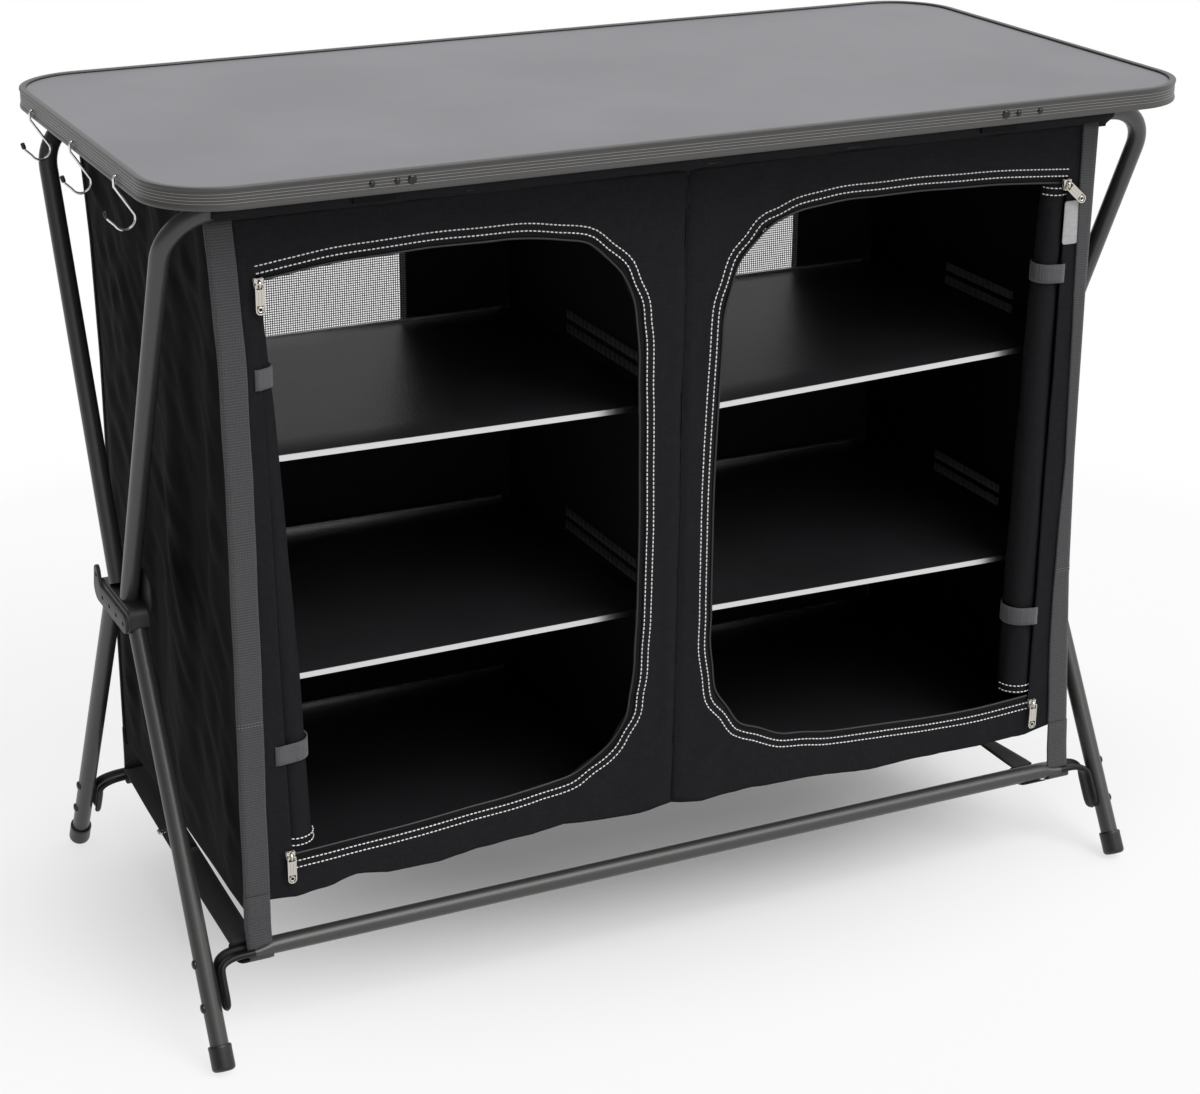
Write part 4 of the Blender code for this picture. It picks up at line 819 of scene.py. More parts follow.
ROUTES = {side: smooth_through([(x, z, 0.0) for x, z in outline], ROUND_STEPS)
          for side, outline in OPENINGS.items()}
nearest = {}
for side, route_points in ROUTES.items():
    nearest[side] = kdtree.KDTree(len(route_points))
    for number, point in enumerate(route_points):
        nearest[side].insert(point, number)
    nearest[side].balance()


def front_surface(x, z):
    """How far in front of the middle plane the front cloth hangs, with its folds, puckers and waves."""
    side = -1 if x < along_table(z, SEAM_X) else 1
    edge = nearest[side].find(Vector((x, z, 0.0)))[2]
    free = 1.0 - math.exp(-(edge / 0.016) ** 2)
    seam = x - along_table(z, SEAM_X)
    low = max(0.0, 1.0 - (z - along_table(x, HEM)) / 0.055)
    out = 0.0016 * ripple(x, z, 0.11, 0.16, 1.0) * (0.25 + 0.75 * free)
    out += 0.0011 * ripple(x, z, 0.020, 0.070, 2.0) * free
    out += 0.0009 * ripple(x + z, x - z, 0.050, 0.016, 3.0) * free
    out += 0.0032 * low * ripple(x, z, 0.050, 0.20, 4.0)
    near_seam = math.exp(-(seam / 0.0045) ** 2)
    out -= 0.0030 * near_seam
    out += 0.0016 * math.exp(-abs(seam) / 0.018) * ripple(x, z, 0.060, 0.014, 5.0)
    fan = math.exp(-((x - 0.045) ** 2 + (z - 0.190) ** 2) / 0.0028)
    out += 0.0030 * fan * ripple(x - z, x + z, 0.020, 0.120, 6.0)
    fan = math.exp(-((x + 0.070) ** 2 + (z - 0.180) ** 2) / 0.0030)
    out += 0.0024 * fan * ripple(x + z, x - z, 0.022, 0.120, 7.0)
    return FRONT_Y + min(out, 0.0012 + 0.003 * low)


def woven(name, dark, light, rough=0.85, sheen=0.0):
    """Matt woven cloth: crossed threads, thicker slubs here and there, and a faint dusty shine."""
    material, tree, where = new_material(name)
    threads = []
    for scale in ((1 / THREAD, 1 / THREAD, 1 / SLUB), (1 / SLUB, 1 / SLUB, 1 / THREAD)):
        spread = add(tree, "ShaderNodeMapping", {"Vector": where, "Scale": scale})
        threads.append(add(tree, "ShaderNodeTexNoise", {"Vector": spread.outputs[0], "Scale": 1.0}))
    weave = add(tree, "ShaderNodeMath", {0: threads[0].outputs["Fac"], 1: threads[1].outputs["Fac"]},
                operation="ADD")
    height = add(tree, "ShaderNodeMath", {0: weave.outputs[0], 1: 0.5}, operation="MULTIPLY")
    tone = add(tree, "ShaderNodeMapRange", {"Value": height.outputs[0], "From Min": 0.30, "From Max": 0.70})
    dye = add(tree, "ShaderNodeMix", {"Factor": tone.outputs[0], 6: linear(dark), 7: linear(light)},
              data_type="RGBA")
    folds = add(tree, "ShaderNodeTexNoise", {"Vector": where, "Scale": 1 / 0.045, "Detail": 3.0,
                                             "Roughness": 0.6})
    crease = add(tree, "ShaderNodeBump", {"Height": folds.outputs["Fac"], "Distance": 0.0016, "Strength": 1.0})
    relief = add(tree, "ShaderNodeBump", {"Height": height.outputs[0], "Distance": 0.00022, "Strength": 1.0,
                                          "Normal": crease.outputs["Normal"]})
    skin = add(tree, "ShaderNodeBsdfPrincipled", {
        "Base Color": dye.outputs[2], "Roughness": rough, "Specular IOR Level": 0.10, "Sheen Weight": sheen,
        "Sheen Roughness": 0.5, "Normal": relief.outputs["Normal"]})
    add(tree, "ShaderNodeOutputMaterial", {"Surface": skin.outputs[0]})
    return material


def thicken(item, thick, offset=0.0):
    wall = item.modifiers.new("thickness", "SOLIDIFY")
    wall.thickness = thick
    wall.offset = offset
    return item


def crumples(item):
    """Gives cloth, or what is sewn to it, a mesh of its own."""
    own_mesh(item)
    return item


def sewn(name, bm, material, nodes=(), crease=60.0, merge=1e-6, thick=0.0):
    """A piece of the cloth body that moves with it."""
    item = finished(name, bm, [material], "cloth_body", nodes, crease, merge)
    if thick:
        thicken(item, thick)
    return crumples(item)


black_cloth = woven("black_woven_polyester", *CLOTH_COLOURS)
# The side panels take the darker copy of the same cloth, as painted shade
shaded_side_cloth = woven("black_polyester_painted_side_shade", *SIDE_SHADE_COLOURS)


def box_point(point, low, high):
    """Where a line from the middle of a rectangle through a point meets the rectangle's edge."""
    middle = ((low[0] + high[0]) / 2, (low[1] + high[1]) / 2)
    half = ((high[0] - low[0]) / 2, (high[1] - low[1]) / 2)
    share = ((point[0] - middle[0]) / half[0], (point[1] - middle[1]) / half[1])
    largest = max(abs(share[0]), abs(share[1]))
    return (middle[0] + half[0] * share[0] / largest, middle[1] + half[1] * share[1] / largest)


bm = bmesh.new()
number_layer = bm.verts.layers.int.new("number")
for side, route_points in ROUTES.items():
    edge_points = [route_points[-1].lerp(route_points[0], number / EDGE_STEPS)
                   for number in range(1, EDGE_STEPS)]
    loop = [(point.x, point.y) for point in route_points + edge_points]
    low = (-CLOTH_HALF if side < 0 else PANEL_SEAM, PANEL_LOW)
    high = (PANEL_SEAM if side < 0 else CLOTH_HALF, CLOTH_TOP)
    targets = [box_point(point, low, high) for point in loop]
    for corner in ((low[0], low[1]), (high[0], low[1]), (high[0], high[1]), (low[0], high[1])):
        closest = min(range(len(targets)), key=lambda n: math.dist(targets[n], corner))
        targets[closest] = corner
    fitted = []
    for x, z in targets:
        if abs(x - PANEL_SEAM) < 1e-4:
            x = along_table(z, SEAM_X) - side * 0.0002
        if abs(x) > CLOTH_HALF - 1e-4:
            x = corner_x(side, z)
        hem = along_table(x, HEM) + 0.0010 * ripple(x, 0.0, 0.035, 1.0, 8.0)
        fitted.append((x, hem + (z - PANEL_LOW) * (CLOTH_TOP - hem) / (CLOTH_TOP - PANEL_LOW)))
    ring = ring_of(bm, [(x, -front_surface(x, z), z) for x, z in loop])
    for vert in {vert for edge in ring for vert in edge.verts}:
        spot = (vert.co.x, vert.co.z)
        vert[number_layer] = min(range(len(loop)), key=lambda n: math.dist(loop[n], spot))
    for level in range(1, PANEL_RINGS + 1):
        share = level / PANEL_RINGS
        grown = bmesh.ops.extrude_edge_only(bm, edges=ring)["geom"]
        fresh = {item for item in grown if isinstance(item, bmesh.types.BMVert)}
        for vert in fresh:
            number = vert[number_layer]
            x = loop[number][0] + (fitted[number][0] - loop[number][0]) * share
            z = loop[number][1] + (fitted[number][1] - loop[number][1]) * share
            vert.co = (x, -front_surface(x, z), z)
        edges = [item for item in grown if isinstance(item, bmesh.types.BMEdge)]
        ring = [edge for edge in edges if fresh.issuperset(edge.verts)]
front_cloth = sewn("front_cloth", bm, black_cloth, ["front_panel"], thick=CLOTH_THICK)


# Door stitching and zips
# Two rows of thick white thread go round each opening, about 7 mm apart. Inside them a black zip tape
# carries the nylon coil that the sliders run on.
STITCH_ROWS = (0.0020, 0.0088)
STITCH_PITCH = 0.0043
STITCH_LENGTH = 0.0034
STITCH_RADIUS = 0.00070
TAPE_INNER = -0.0060
# How far outside the opening and how far behind its edge each row of the tape runs
TAPE_ROWS = ((0.004, 0.0), (0.0, 0.0002), (-0.003, 0.0008), (TAPE_INNER, 0.0018))
COIL_RADIUS = 0.0014
COIL_WAIST = 0.72
COIL_STEPS = 900
# Stations of the coil that are drawn at one time
COIL_RUN = 50


def offset_route(route_points, out, side):
    """The opening's outline moved away from the opening by out."""
    moved = []
    for number, point in enumerate(route_points):
        before = route_points[max(number - 1, 0)]
        after = route_points[min(number + 1, len(route_points) - 1)]
        along = (after - before).normalized()
        moved.append(Vector((point.x + along.y * out * side, point.y - along.x * out * side, 0.0)))
    return moved


def poured(bm, small):
    """Adds a small bmesh to a large one, since each step takes longer as a bmesh grows."""
    mesh = bpy.data.meshes.new("poured")
    small.to_mesh(mesh)
    small.free()
    bm.from_mesh(mesh)
    bpy.data.meshes.remove(mesh)


def sew(bm, line, pitch=STITCH_PITCH, length=STITCH_LENGTH, radius=STITCH_RADIUS):
    """Lays short thread stitches along a line of points in space."""
    small = bmesh.new()
    count = 0
    points = [Vector(point) for point in line]
    travelled = [0.0]
    for a, b in zip(points, points[1:]):
        travelled.append(travelled[-1] + (b - a).length)
    spot = 0
    reach = pitch / 2
    while reach < travelled[-1]:
        while travelled[spot + 1] < reach:
            spot += 1
        share = (reach - travelled[spot]) / (travelled[spot + 1] - travelled[spot])
        along = (points[spot + 1] - points[spot]).normalized()
        place = Matrix.Translation(points[spot].lerp(points[spot + 1], share))
        place @= along.to_track_quat("Z", "Y").to_matrix().to_4x4()
        place @= Matrix.Diagonal((1.0, 1.0, length / 2 / radius, 1.0))
        bmesh.ops.create_uvsphere(small, u_segments=6, v_segments=4, radius=radius, matrix=place)
        reach += pitch
        count += 1
        if count % 30 == 0:
            poured(bm, small)
            small = bmesh.new()
    poured(bm, small)


thread, tree, where = new_material("white_polyester_thread")
ply = add(tree, "ShaderNodeTexNoise", {"Vector": where, "Scale": 1 / 0.0012})
shade = add(tree, "ShaderNodeMix", {"Factor": ply.outputs["Fac"], 6: linear("#e4e4e2"), 7: linear("#ffffff")},
            data_type="RGBA")
skin = add(tree, "ShaderNodeBsdfPrincipled", {"Base Color": shade.outputs[2], "Roughness": 0.7,
                                              "Sheen Weight": 0.2})
add(tree, "ShaderNodeOutputMaterial", {"Surface": skin.outputs[0]})
tape_cloth = woven("black_zip_tape", "#111113", "#1b1b1d", 0.7)
coil_nylon = plain("black_nylon_coil", "#1a1a1c", 0.38, 0.001, 0.00005)
for hand, side in HANDS:
    route_points = ROUTES[side]
    bm = bmesh.new()
    for out in STITCH_ROWS:
        sew(bm, [(point.x, -front_surface(point.x, point.y) - CLOTH_THICK / 2 - 0.0002, point.y)
                 for point in offset_route(route_points, out, side)])
    sewn(hand + "_door_stitching", bm, thread, merge=1e-7)
    bm = bmesh.new()
    sunk = [-front_surface(point.x, point.y) + 0.0010 for point in route_points]
    lofted(bm, [[(point.x, y + back, point.y)
                 for point, y in zip(offset_route(route_points, out, side), sunk)]
                for out, back in TAPE_ROWS])
    tape = sewn(hand + "_zip_tape", bm, tape_cloth, thick=0.0006)
    bm = bmesh.new()
    coil_line = [(point.x, y + 0.0004, point.y)
                 for point, y in zip(offset_route(route_points, TAPE_INNER + 0.001, side), sunk)]
    coil_line = smooth_through(coil_line[::4], COIL_STEPS)
    beads = [(1.0, 1.0) if number % 2 else (COIL_WAIST, COIL_WAIST) for number in range(len(coil_line))]
    places = stations(coil_line, (0, 1, 0), beads)
    for start in range(0, len(places) - 1, COIL_RUN):
        small = bmesh.new()
        swept(small, circle(COIL_RADIUS, 6), places[start:start + COIL_RUN + 1], cap=False)
        poured(bm, small)
    sewn(hand + "_zip_coil", bm, coil_nylon, crease=70.0)


# Rolled doors
# Each door is rolled up on its outer edge, thin at the top and fuller below, and tied by two grey webbing
# bands. Its own white stitching shows as short arcs at both ends of the roll.
ROLL_TOP_Z = 0.752
ROLL_LOW_Z = 0.192
# Height, distance of the roll's middle from the middle of the cupboard, and radius
ROLLS = {-1: ((0.752, -0.4310, 0.0105), (0.61, -0.4215, 0.0135), (0.34, -0.4085, 0.0165),
              (0.192, -0.4045, 0.0178)),
         1: ((0.752, 0.4070, 0.0120), (0.60, 0.4050, 0.0150), (0.34, 0.4060, 0.0172),
             (0.192, 0.4070, 0.0178))}
ROLL_STEPS = 60
ROLL_SIDES = 36
ROLL_BACK = -0.1992
# Heights of the rows of stitching on each roll
ROLL_STITCHES = {-1: (0.195, 0.202), 1: (0.195, 0.202, 0.740, 0.733)}
THREAD_PITCH = 0.0026
BAND_HEIGHT = 0.0190
BAND_LEVELS = {-1: (0.657, 0.292), 1: (0.653, 0.282)}
BAND_ENDS = {-1: (-0.4310, -0.4260), 1: (0.4165, 0.4160)}
BAND_COLOURS = ("#4a4a4e", "#5d5d61")


def webbing(name, dark, light, axis, rib, deep=0.00022):
    """Ribbed polyester webbing: ribs across its length, crossed by fine threads, with a heathered colour."""
    material, tree, where = new_material(name)
    split = add(tree, "ShaderNodeSeparateXYZ", {"Vector": where})
    waves = []
    for direction, size in ((axis, rib), ("Y" if axis == "X" else "X", THREAD_PITCH)):
        turns = add(tree, "ShaderNodeMath", {0: split.outputs[direction], 1: math.tau / size},
                    operation="MULTIPLY")
        waves.append(add(tree, "ShaderNodeMath", {0: turns.outputs[0]}, operation="SINE"))
    both = add(tree, "ShaderNodeMath", {0: waves[1].outputs[0], 1: 0.35, 2: waves[0].outputs[0]},
               operation="MULTIPLY_ADD")
    height = add(tree, "ShaderNodeMapRange", {"Value": both.outputs[0], "From Min": -1.35, "From Max": 1.35})
    heather = add(tree, "ShaderNodeTexNoise", {"Vector": where, "Scale": 1 / 0.0016, "Detail": 3.0,
                                               "Roughness": 0.8})
    share = add(tree, "ShaderNodeMath", {0: height.outputs[0], 1: 0.45, 2: heather.outputs["Fac"]},
                operation="MULTIPLY_ADD")
    tone = add(tree, "ShaderNodeMapRange", {"Value": share.outputs[0], "From Min": 0.45, "From Max": 1.00})
    dye = add(tree, "ShaderNodeMix", {"Factor": tone.outputs[0], 6: linear(dark), 7: linear(light)},
              data_type="RGBA")
    relief = add(tree, "ShaderNodeBump", {"Height": height.outputs[0], "Distance": deep, "Strength": 1.0})
    skin = add(tree, "ShaderNodeBsdfPrincipled", {
        "Base Color": dye.outputs[2], "Roughness": 0.8, "Specular IOR Level": 0.3, "Sheen Weight": 0.15,
        "Normal": relief.outputs["Normal"]})
    add(tree, "ShaderNodeOutputMaterial", {"Surface": skin.outputs[0]})
    return material


def roll_at(side, z):
    """Middle and radius of the roll at a height."""
    across, radius = [along_table(z, [(spot[0], spot[column]) for spot in reversed(ROLLS[side])])
                      for column in (1, 2)]
    return Vector((across, ROLL_BACK + radius, z)), radius


def round_roll(side, middle, reach, turns):
    """Points round a roll at a distance from its middle."""
    return [(middle.x + side * reach * math.cos(turn), middle.y - reach * math.sin(turn))
            for turn in map(math.radians, turns)]


band_webbing = webbing("grey_nylon_band", *BAND_COLOURS, "X", 0.0021, 0.00010)
for hand, side in HANDS:
    bm = bmesh.new()
    rows = []
    for number in range(ROLL_STEPS + 1):
        z = ROLL_TOP_Z + (ROLL_LOW_Z - ROLL_TOP_Z) * number / ROLL_STEPS
        middle, radius = roll_at(side, z)
        pinch = sum(math.exp(-((z - level) / 0.016) ** 2) for level in BAND_LEVELS[side])
        section = []
        for step in range(ROLL_SIDES):
            turn = math.tau * step / ROLL_SIDES
            size = radius * (1.0 - 0.07 * step / ROLL_SIDES) * (1.0 - 0.05 * pinch)
            size += 0.0010 * ripple(turn * 0.02, z, 0.014, 0.060, 11.0 + side)
            size += 0.0007 * ripple(turn * 0.02, z, 0.030, 0.012, 13.0 + side) * pinch
            spot = Vector((side * math.cos(turn - 0.6), math.sin(turn - 0.6), 0.0)) * size
            section.append(middle + spot)
        rows.append(section)
    rings = lofted(bm, rows, True)
    for ring, depth in ((rings[0], 0.003), (rings[-1], -0.003)):
        face = bmesh.ops.contextual_create(bm, geom=ring)["faces"]
        for number in range(3):
            bmesh.ops.inset_region(bm, faces=face, thickness=0.0022)
            bmesh.ops.translate(bm, vec=(0, 0, depth if number % 2 else -depth), verts=face[0].verts)
    sewn(hand + "_door_roll", bm, black_cloth, [hand + "_rolled_door"], 50.0)
    for level_name, level, band_end in zip(("upper", "lower"), BAND_LEVELS[side], BAND_ENDS[side]):
        bm = bmesh.new()
        middle, radius = roll_at(side, level)
        route = [(band_end, -0.2016), (band_end - side * 0.0050, -0.2024)]
        route += round_roll(side, middle, radius + 0.0012, range(100, 311, 10))
        lofted(bm, [[(x, y + 0.0006 * ripple(x, rise, 0.01, 0.5, level), level + rise * BAND_HEIGHT)
                     for x, y in route] for rise in (-0.5, -0.25, 0.0, 0.25, 0.5)])
        sewn("%s_%s_roll_band" % (hand, level_name), bm, band_webbing, thick=0.0011)
    bm = bmesh.new()
    for z in ROLL_STITCHES[side]:
        middle, radius = roll_at(side, z)
        sew(bm, [(x, y, z) for x, y in round_roll(side, middle, radius + 0.0010, range(50, 181, 8))])
    sewn(hand + "_roll_stitching", bm, thread, merge=1e-7)


# Side, floor and rear cloth
# The same black polyester closes the sides, the floor and the rear, and the sides take a darker copy of it
# as painted shade. Mesh windows are let into the rear cloth behind each upper shelf.
SIDE_Y = 0.1985
FLOOR_Z = 0.1370
# In front of this place the floor turns up to its seam inside the front cloth
FLOOR_FOLD = -0.1600
REAR_Y = 0.2003
WINDOW_Z = (0.560, 0.745)
WINDOW_X = {-1: (-0.350, -0.134), 1: (0.1240, 0.3400)}
WINDOW_LAP = 0.006
MESH_PITCH = 0.00125
MESH_HOLE = 0.39


def grid_cloth(name, across, down, shape, material, nodes=(), keep_face=None, thick=CLOTH_THICK):
    """A square grid laid out by shape, which gives a place for shares from 0 to 1 across and down."""
    bm = bmesh.new()
    bmesh.ops.create_grid(bm, x_segments=across, y_segments=down, size=0.5)
    for vert in bm.verts:
        vert.co = shape(vert.co.x + 0.5, vert.co.y + 0.5)
    if keep_face:
        lost = [face for face in bm.faces if not keep_face(face.calc_center_median())]
        bmesh.ops.delete(bm, geom=lost, context="FACES")
    return sewn(name, bm, material, nodes, thick=thick)


for hand, side in HANDS:
    def side_shape(u, v, side=side):
        y = (u * 2 - 1) * SIDE_Y
        hem = 0.1340 + 0.0035 * u + 0.0012 * ripple(y, side, 0.06, 1.0, 21.0)
        z = hem + (CLOTH_TOP + 0.003 - hem) * v
        edge = min(1.0, (1.0 - abs(u * 2 - 1)) * 6.0)
        out = 0.0065 * (0.35 + ripple(y, z, 0.075, 0.30, 22.0 + side)) * edge
        out += 0.0030 * ripple(y, z, 0.030, 0.14, 23.0 + side) * edge
        out += 0.0022 * ripple(y + z, y - z, 0.11, 0.028, 24.0 + side) * edge
        top = math.exp(-((z - 0.755) / 0.045) ** 2)
        out += 0.0040 * top * ripple(y, z, 0.035, 0.030, 25.0 + side) * edge
        out = max(out, -0.0012) * min(1.0, (z - hem) / 0.05)
        return (corner_x(side, z) + side * (out - 0.0003), y, z)

    cloth = grid_cloth(hand + "_side_cloth", 70, 110, side_shape, shaded_side_cloth, ["side_and_floor_cloth"])


def floor_shape(u, v):
    x = abs(u * 2 - 1) * corner_x(-1 if u < 0.5 else 1, FLOOR_Z)
    y = (v * 2 - 1) * SIDE_Y
    inward = min(1.0, max(0.0, (y - FLOOR_FOLD) / 0.045)) * min(1.0, (SIDE_Y - y) / 0.035)
    edge = min(1.0, (1 - abs(u * 2 - 1)) * 9.0) * inward
    drop = 0.0035 * edge * (0.6 + ripple(x, y, 0.10, 0.10, 31.0))
    drop += 0.0015 * ripple(x, y, 0.03, 0.06, 32.0) * edge
    rise = max(0.0, along_table(x, HEM) + 0.002 - FLOOR_Z)
    rise *= max(0.0, (FLOOR_FOLD - y) / (FLOOR_FOLD + SIDE_Y))
    return (x, y, FLOOR_Z + rise - max(drop, 0.0))


cloth = grid_cloth("floor_cloth", 90, 40, floor_shape, black_cloth)


def rear_line(value, stops):
    """Spreads shares from 0 to 1 over stops, so that a grid line falls on each stop."""
    count = len(stops) - 1
    spot = min(int(value * count + 1e-6), count - 1)
    return stops[spot] + (stops[spot + 1] - stops[spot]) * (value * count - spot)


REAR_X = (-CLOTH_HALF, WINDOW_X[-1][0], WINDOW_X[-1][1], WINDOW_X[1][0], WINDOW_X[1][1], CLOTH_HALF)
REAR_Z = (PANEL_LOW, 0.350, WINDOW_Z[0], WINDOW_Z[1], CLOTH_TOP)


def in_window(x, z):
    inside = WINDOW_Z[0] < z < WINDOW_Z[1]
    return inside and any(low < x < high for low, high in WINDOW_X.values())


def rear_surface(x, z):
    out = 0.0014 * ripple(x, z, 0.12, 0.16, 41.0) + 0.0011 * ripple(x, z, 0.022, 0.10, 42.0)
    out += 0.0009 * ripple(x + z, x - z, 0.06, 0.018, 43.0)
    low = max(0.0, 1.0 - (z - PANEL_LOW) / 0.05)
    out += 0.0030 * low * ripple(x, z, 0.05, 0.2, 44.0)
    out -= 0.0022 * math.exp(-((x + 0.008) / 0.005) ** 2)
    return REAR_Y + max(min(out, 0.0030), -0.0010)


def rear_shape(u, v):
    x = rear_line(u, REAR_X)
    z = rear_line(v, REAR_Z)
    z += (0.0030 * ripple(x, 0.0, 0.06, 1.0, 45.0) - 0.002) * max(0.0, 1.0 - (z - PANEL_LOW) / 0.10)
    if abs(x) > WINDOW_X[1][1] + 0.01:
        side = math.copysign(1, x)
        start = WINDOW_X[side][1 if side > 0 else 0]
        x = start + (x - start) * (corner_x(side, z) - start) / (side * CLOTH_HALF - start)
    return (x, rear_surface(x, z), z)


cloth = grid_cloth("rear_cloth", 120, 80, rear_shape, black_cloth, ["rear_panel"],
                   lambda middle: not in_window(middle.x, middle.z))

# Window mesh: grey polyester net with a thread every 2.5 mm
net, tree, where = new_material("grey_polyester_net")
split = add(tree, "ShaderNodeSeparateXYZ", {"Vector": where})
gaps = []
for axis in ("X", "Z"):
    cells = add(tree, "ShaderNodeMath", {0: split.outputs[axis], 1: 1.0 / MESH_PITCH}, operation="MULTIPLY")
    sway = add(tree, "ShaderNodeMath", {0: cells.outputs[0], 1: 1.0}, operation="PINGPONG")
    gaps.append(add(tree, "ShaderNodeMath", {0: sway.outputs[0], 1: MESH_HOLE}, operation="GREATER_THAN"))
hole = add(tree, "ShaderNodeMath", {0: gaps[0].outputs[0], 1: gaps[1].outputs[0]}, operation="MULTIPLY")
solid = add(tree, "ShaderNodeMath", {0: 1.0, 1: hole.outputs[0]}, operation="SUBTRACT")
ply = add(tree, "ShaderNodeTexNoise", {"Vector": where, "Scale": 1 / 0.004})
yarn = add(tree, "ShaderNodeMix", {"Factor": ply.outputs["Fac"], 6: linear("#8e8e92"), 7: linear("#a9a9ad")},
           data_type="RGBA")
skin = add(tree, "ShaderNodeBsdfPrincipled", {"Base Color": yarn.outputs[2], "Roughness": 0.7,
                                              "Alpha": solid.outputs[0]})
add(tree, "ShaderNodeOutputMaterial", {"Surface": skin.outputs[0]})
for hand, side in HANDS:
    def window_shape(u, v, side=side):
        x = WINDOW_X[side][0] - WINDOW_LAP + (WINDOW_X[side][1] - WINDOW_X[side][0] + 2 * WINDOW_LAP) * u
        z = WINDOW_Z[0] - WINDOW_LAP + (WINDOW_Z[1] - WINDOW_Z[0] + 2 * WINDOW_LAP) * v
        edge = min(1.0, 8.0 * min(u, 1 - u)) * min(1.0, 8.0 * min(v, 1 - v))
        out = 0.0012 * ripple(x, z, 0.06, 0.09, 46.0) * edge
        return (x, rear_surface(x, z) * (1 - edge) + (REAR_Y + out) * edge - 0.0009, z)

    pane = grid_cloth(hand + "_window_net", 24, 20, window_shape, net, [hand + "_mesh_window"], thick=0.0)

# Divider: a black cloth wall between the halves, with webbing ladders that the shelf edges slip into
DIVIDER_X = -0.008
black_webbing = webbing("black_webbing_along_y", "#121214", "#232326", "Y", 0.0022)
# The ladders' webbing is drawn greyer and lighter than the other black webbing
ladder_webbing = webbing("greyish_black_ladder_webbing", "#1c1c1e", "#4a4a4d", "Y", 0.0035)


def divider_shape(u, v):
    y = (u * 2 - 1) * SIDE_Y
    low = 0.139 + 0.016 * max(0.0, (FLOOR_FOLD - y) / (FLOOR_FOLD + SIDE_Y))
    z = low + (CLOTH_TOP - low) * v
    edge = min(1.0, (1 - abs(u * 2 - 1)) * 8.0)
    return (DIVIDER_X + 0.0007 * edge * ripple(y, z, 0.05, 0.12, 51.0), y, z)


cloth = grid_cloth("divider_cloth", 50, 60, divider_shape, black_cloth, ["divider"])
RUNG = 0.0105
LADDERS = (("divider_left", -0.0095, -1, -0.115, 0.056), ("divider_right", -0.0065, 1, -0.115, 0.056),
           ("left_wall", -0.4570, 1, -0.085, 0.050), ("right_wall", 0.4405, -1, -0.085, 0.050))
for place_name, x, facing, start_y, end_y in LADDERS:
    bm = bmesh.new()
    steps = [number / 6 for number in range(int((end_y - start_y) / RUNG) * 6 + 1)]
    for level in (0.372, 0.588):
        for row in (-0.0062, 0.0062):
            points = [Vector((x + facing * (0.0003 + 0.0010 * abs(math.sin(share * math.pi)) ** 0.6),
                              start_y + share * RUNG, level + row * 0.2)) for share in steps]
            lofted(bm, [[point + Vector((0, 0, rise + row)) for point in points]
                        for rise in (-0.0045, 0.0, 0.0045)])
    sewn(place_name + "_webbing_ladder", bm, ladder_webbing, crease=50.0, thick=0.0006)


# Sleeves
# Hems of the cloth that the top tubes run through. Each goes over its hoop, and its skirt is sewn inside
# the front or rear cloth.
SLEEVE_ENDS = (-0.466, 0.455)
SLEEVE_OUT = TUBE_RADIUS + 0.0007
SLEEVE_STEPS = 100
# The skirt hangs low between the corner straps, and ends higher up beside them
SKIRT_LOW = 0.758
SKIRT_HIGH = 0.797
SKIRT_END = 0.430
SKIRT_TOP = 0.800
SKIRT_Y = 0.1975
for end, facing in ENDS:
    bm = bmesh.new()
    rows = []
    for number in range(SLEEVE_STEPS + 1):
        x = SLEEVE_ENDS[0] + (SLEEVE_ENDS[1] - SLEEVE_ENDS[0]) * number / SLEEVE_STEPS
        sag = 0.0006 * ripple(x, facing, 0.03, 1.0, 61.0)
        low = SKIRT_LOW if abs(x) < SKIRT_END else SKIRT_HIGH
        skirt = ((SKIRT_Y, low), (SKIRT_Y, (low + SKIRT_TOP) / 2), (SKIRT_Y + 0.0005, SKIRT_TOP))
        line = [(x, facing * y, z) for y, z in skirt]
        for turn in range(200, -21, -20):
            angle = math.radians(turn)
            reach = SLEEVE_OUT + max(sag, -0.0004)
            y = facing * (TOP_TUBE_Y - reach * math.cos(angle))
            line.append((x, y, TOP_TUBE_Z + reach * math.sin(angle)))
        line.append((x, facing * (SKIRT_Y - 0.0003), SKIRT_TOP))
        rows.append(line)
    lofted(bm, rows)
    sleeve = finished(end + "_hoop_sleeve", bm, [black_cloth], end + "_upper", (), 60.0)
    thicken(sleeve, 0.0008, 1.0)


# Corner straps
# Grey ribbed webbing, 26 mm wide, over the cloth's corners from the hoops down to the rails. Each end goes
# round its tube and is sewn back on itself with a row of grey stitches.
STRAP_THICK = 0.0016
STRAP_COLOURS = ("#353537", "#4f4f51")
STRAP_WIDTH = 0.0255
STRAP_BEND = 0.0045
STRAP_TOP = 0.8035
STRAP_LOW = 0.150
STRAP_CUTS = 16
STRAP_STEPS = 80
# Heights of the rows of webbing above the loop's bend, and of the two rows of stitches
LOOP_HEIGHTS = (0.152, 0.142, 0.132, 0.122)
STRAP_SEAMS = (0.328, 0.331)
# How far round the corner the middle of each strap lies at its top, at half height and at its foot
STRAP_ROUTES = {-1: ((0.09, 0.0105), (0.45, 0.0112), (0.80, 0.0105)),
                1: ((0.09, 0.0125), (0.25, 0.0105), (0.45, -0.0010), (0.60, 0.0010), (0.80, 0.0060))}
strap_webbing = webbing("grey_ribbed_webbing", *STRAP_COLOURS, "Z", 0.0026, 0.00020)
grey_thread = plain("grey_polyester_thread", "#77777a", 0.7, 0.001, 0.00005)


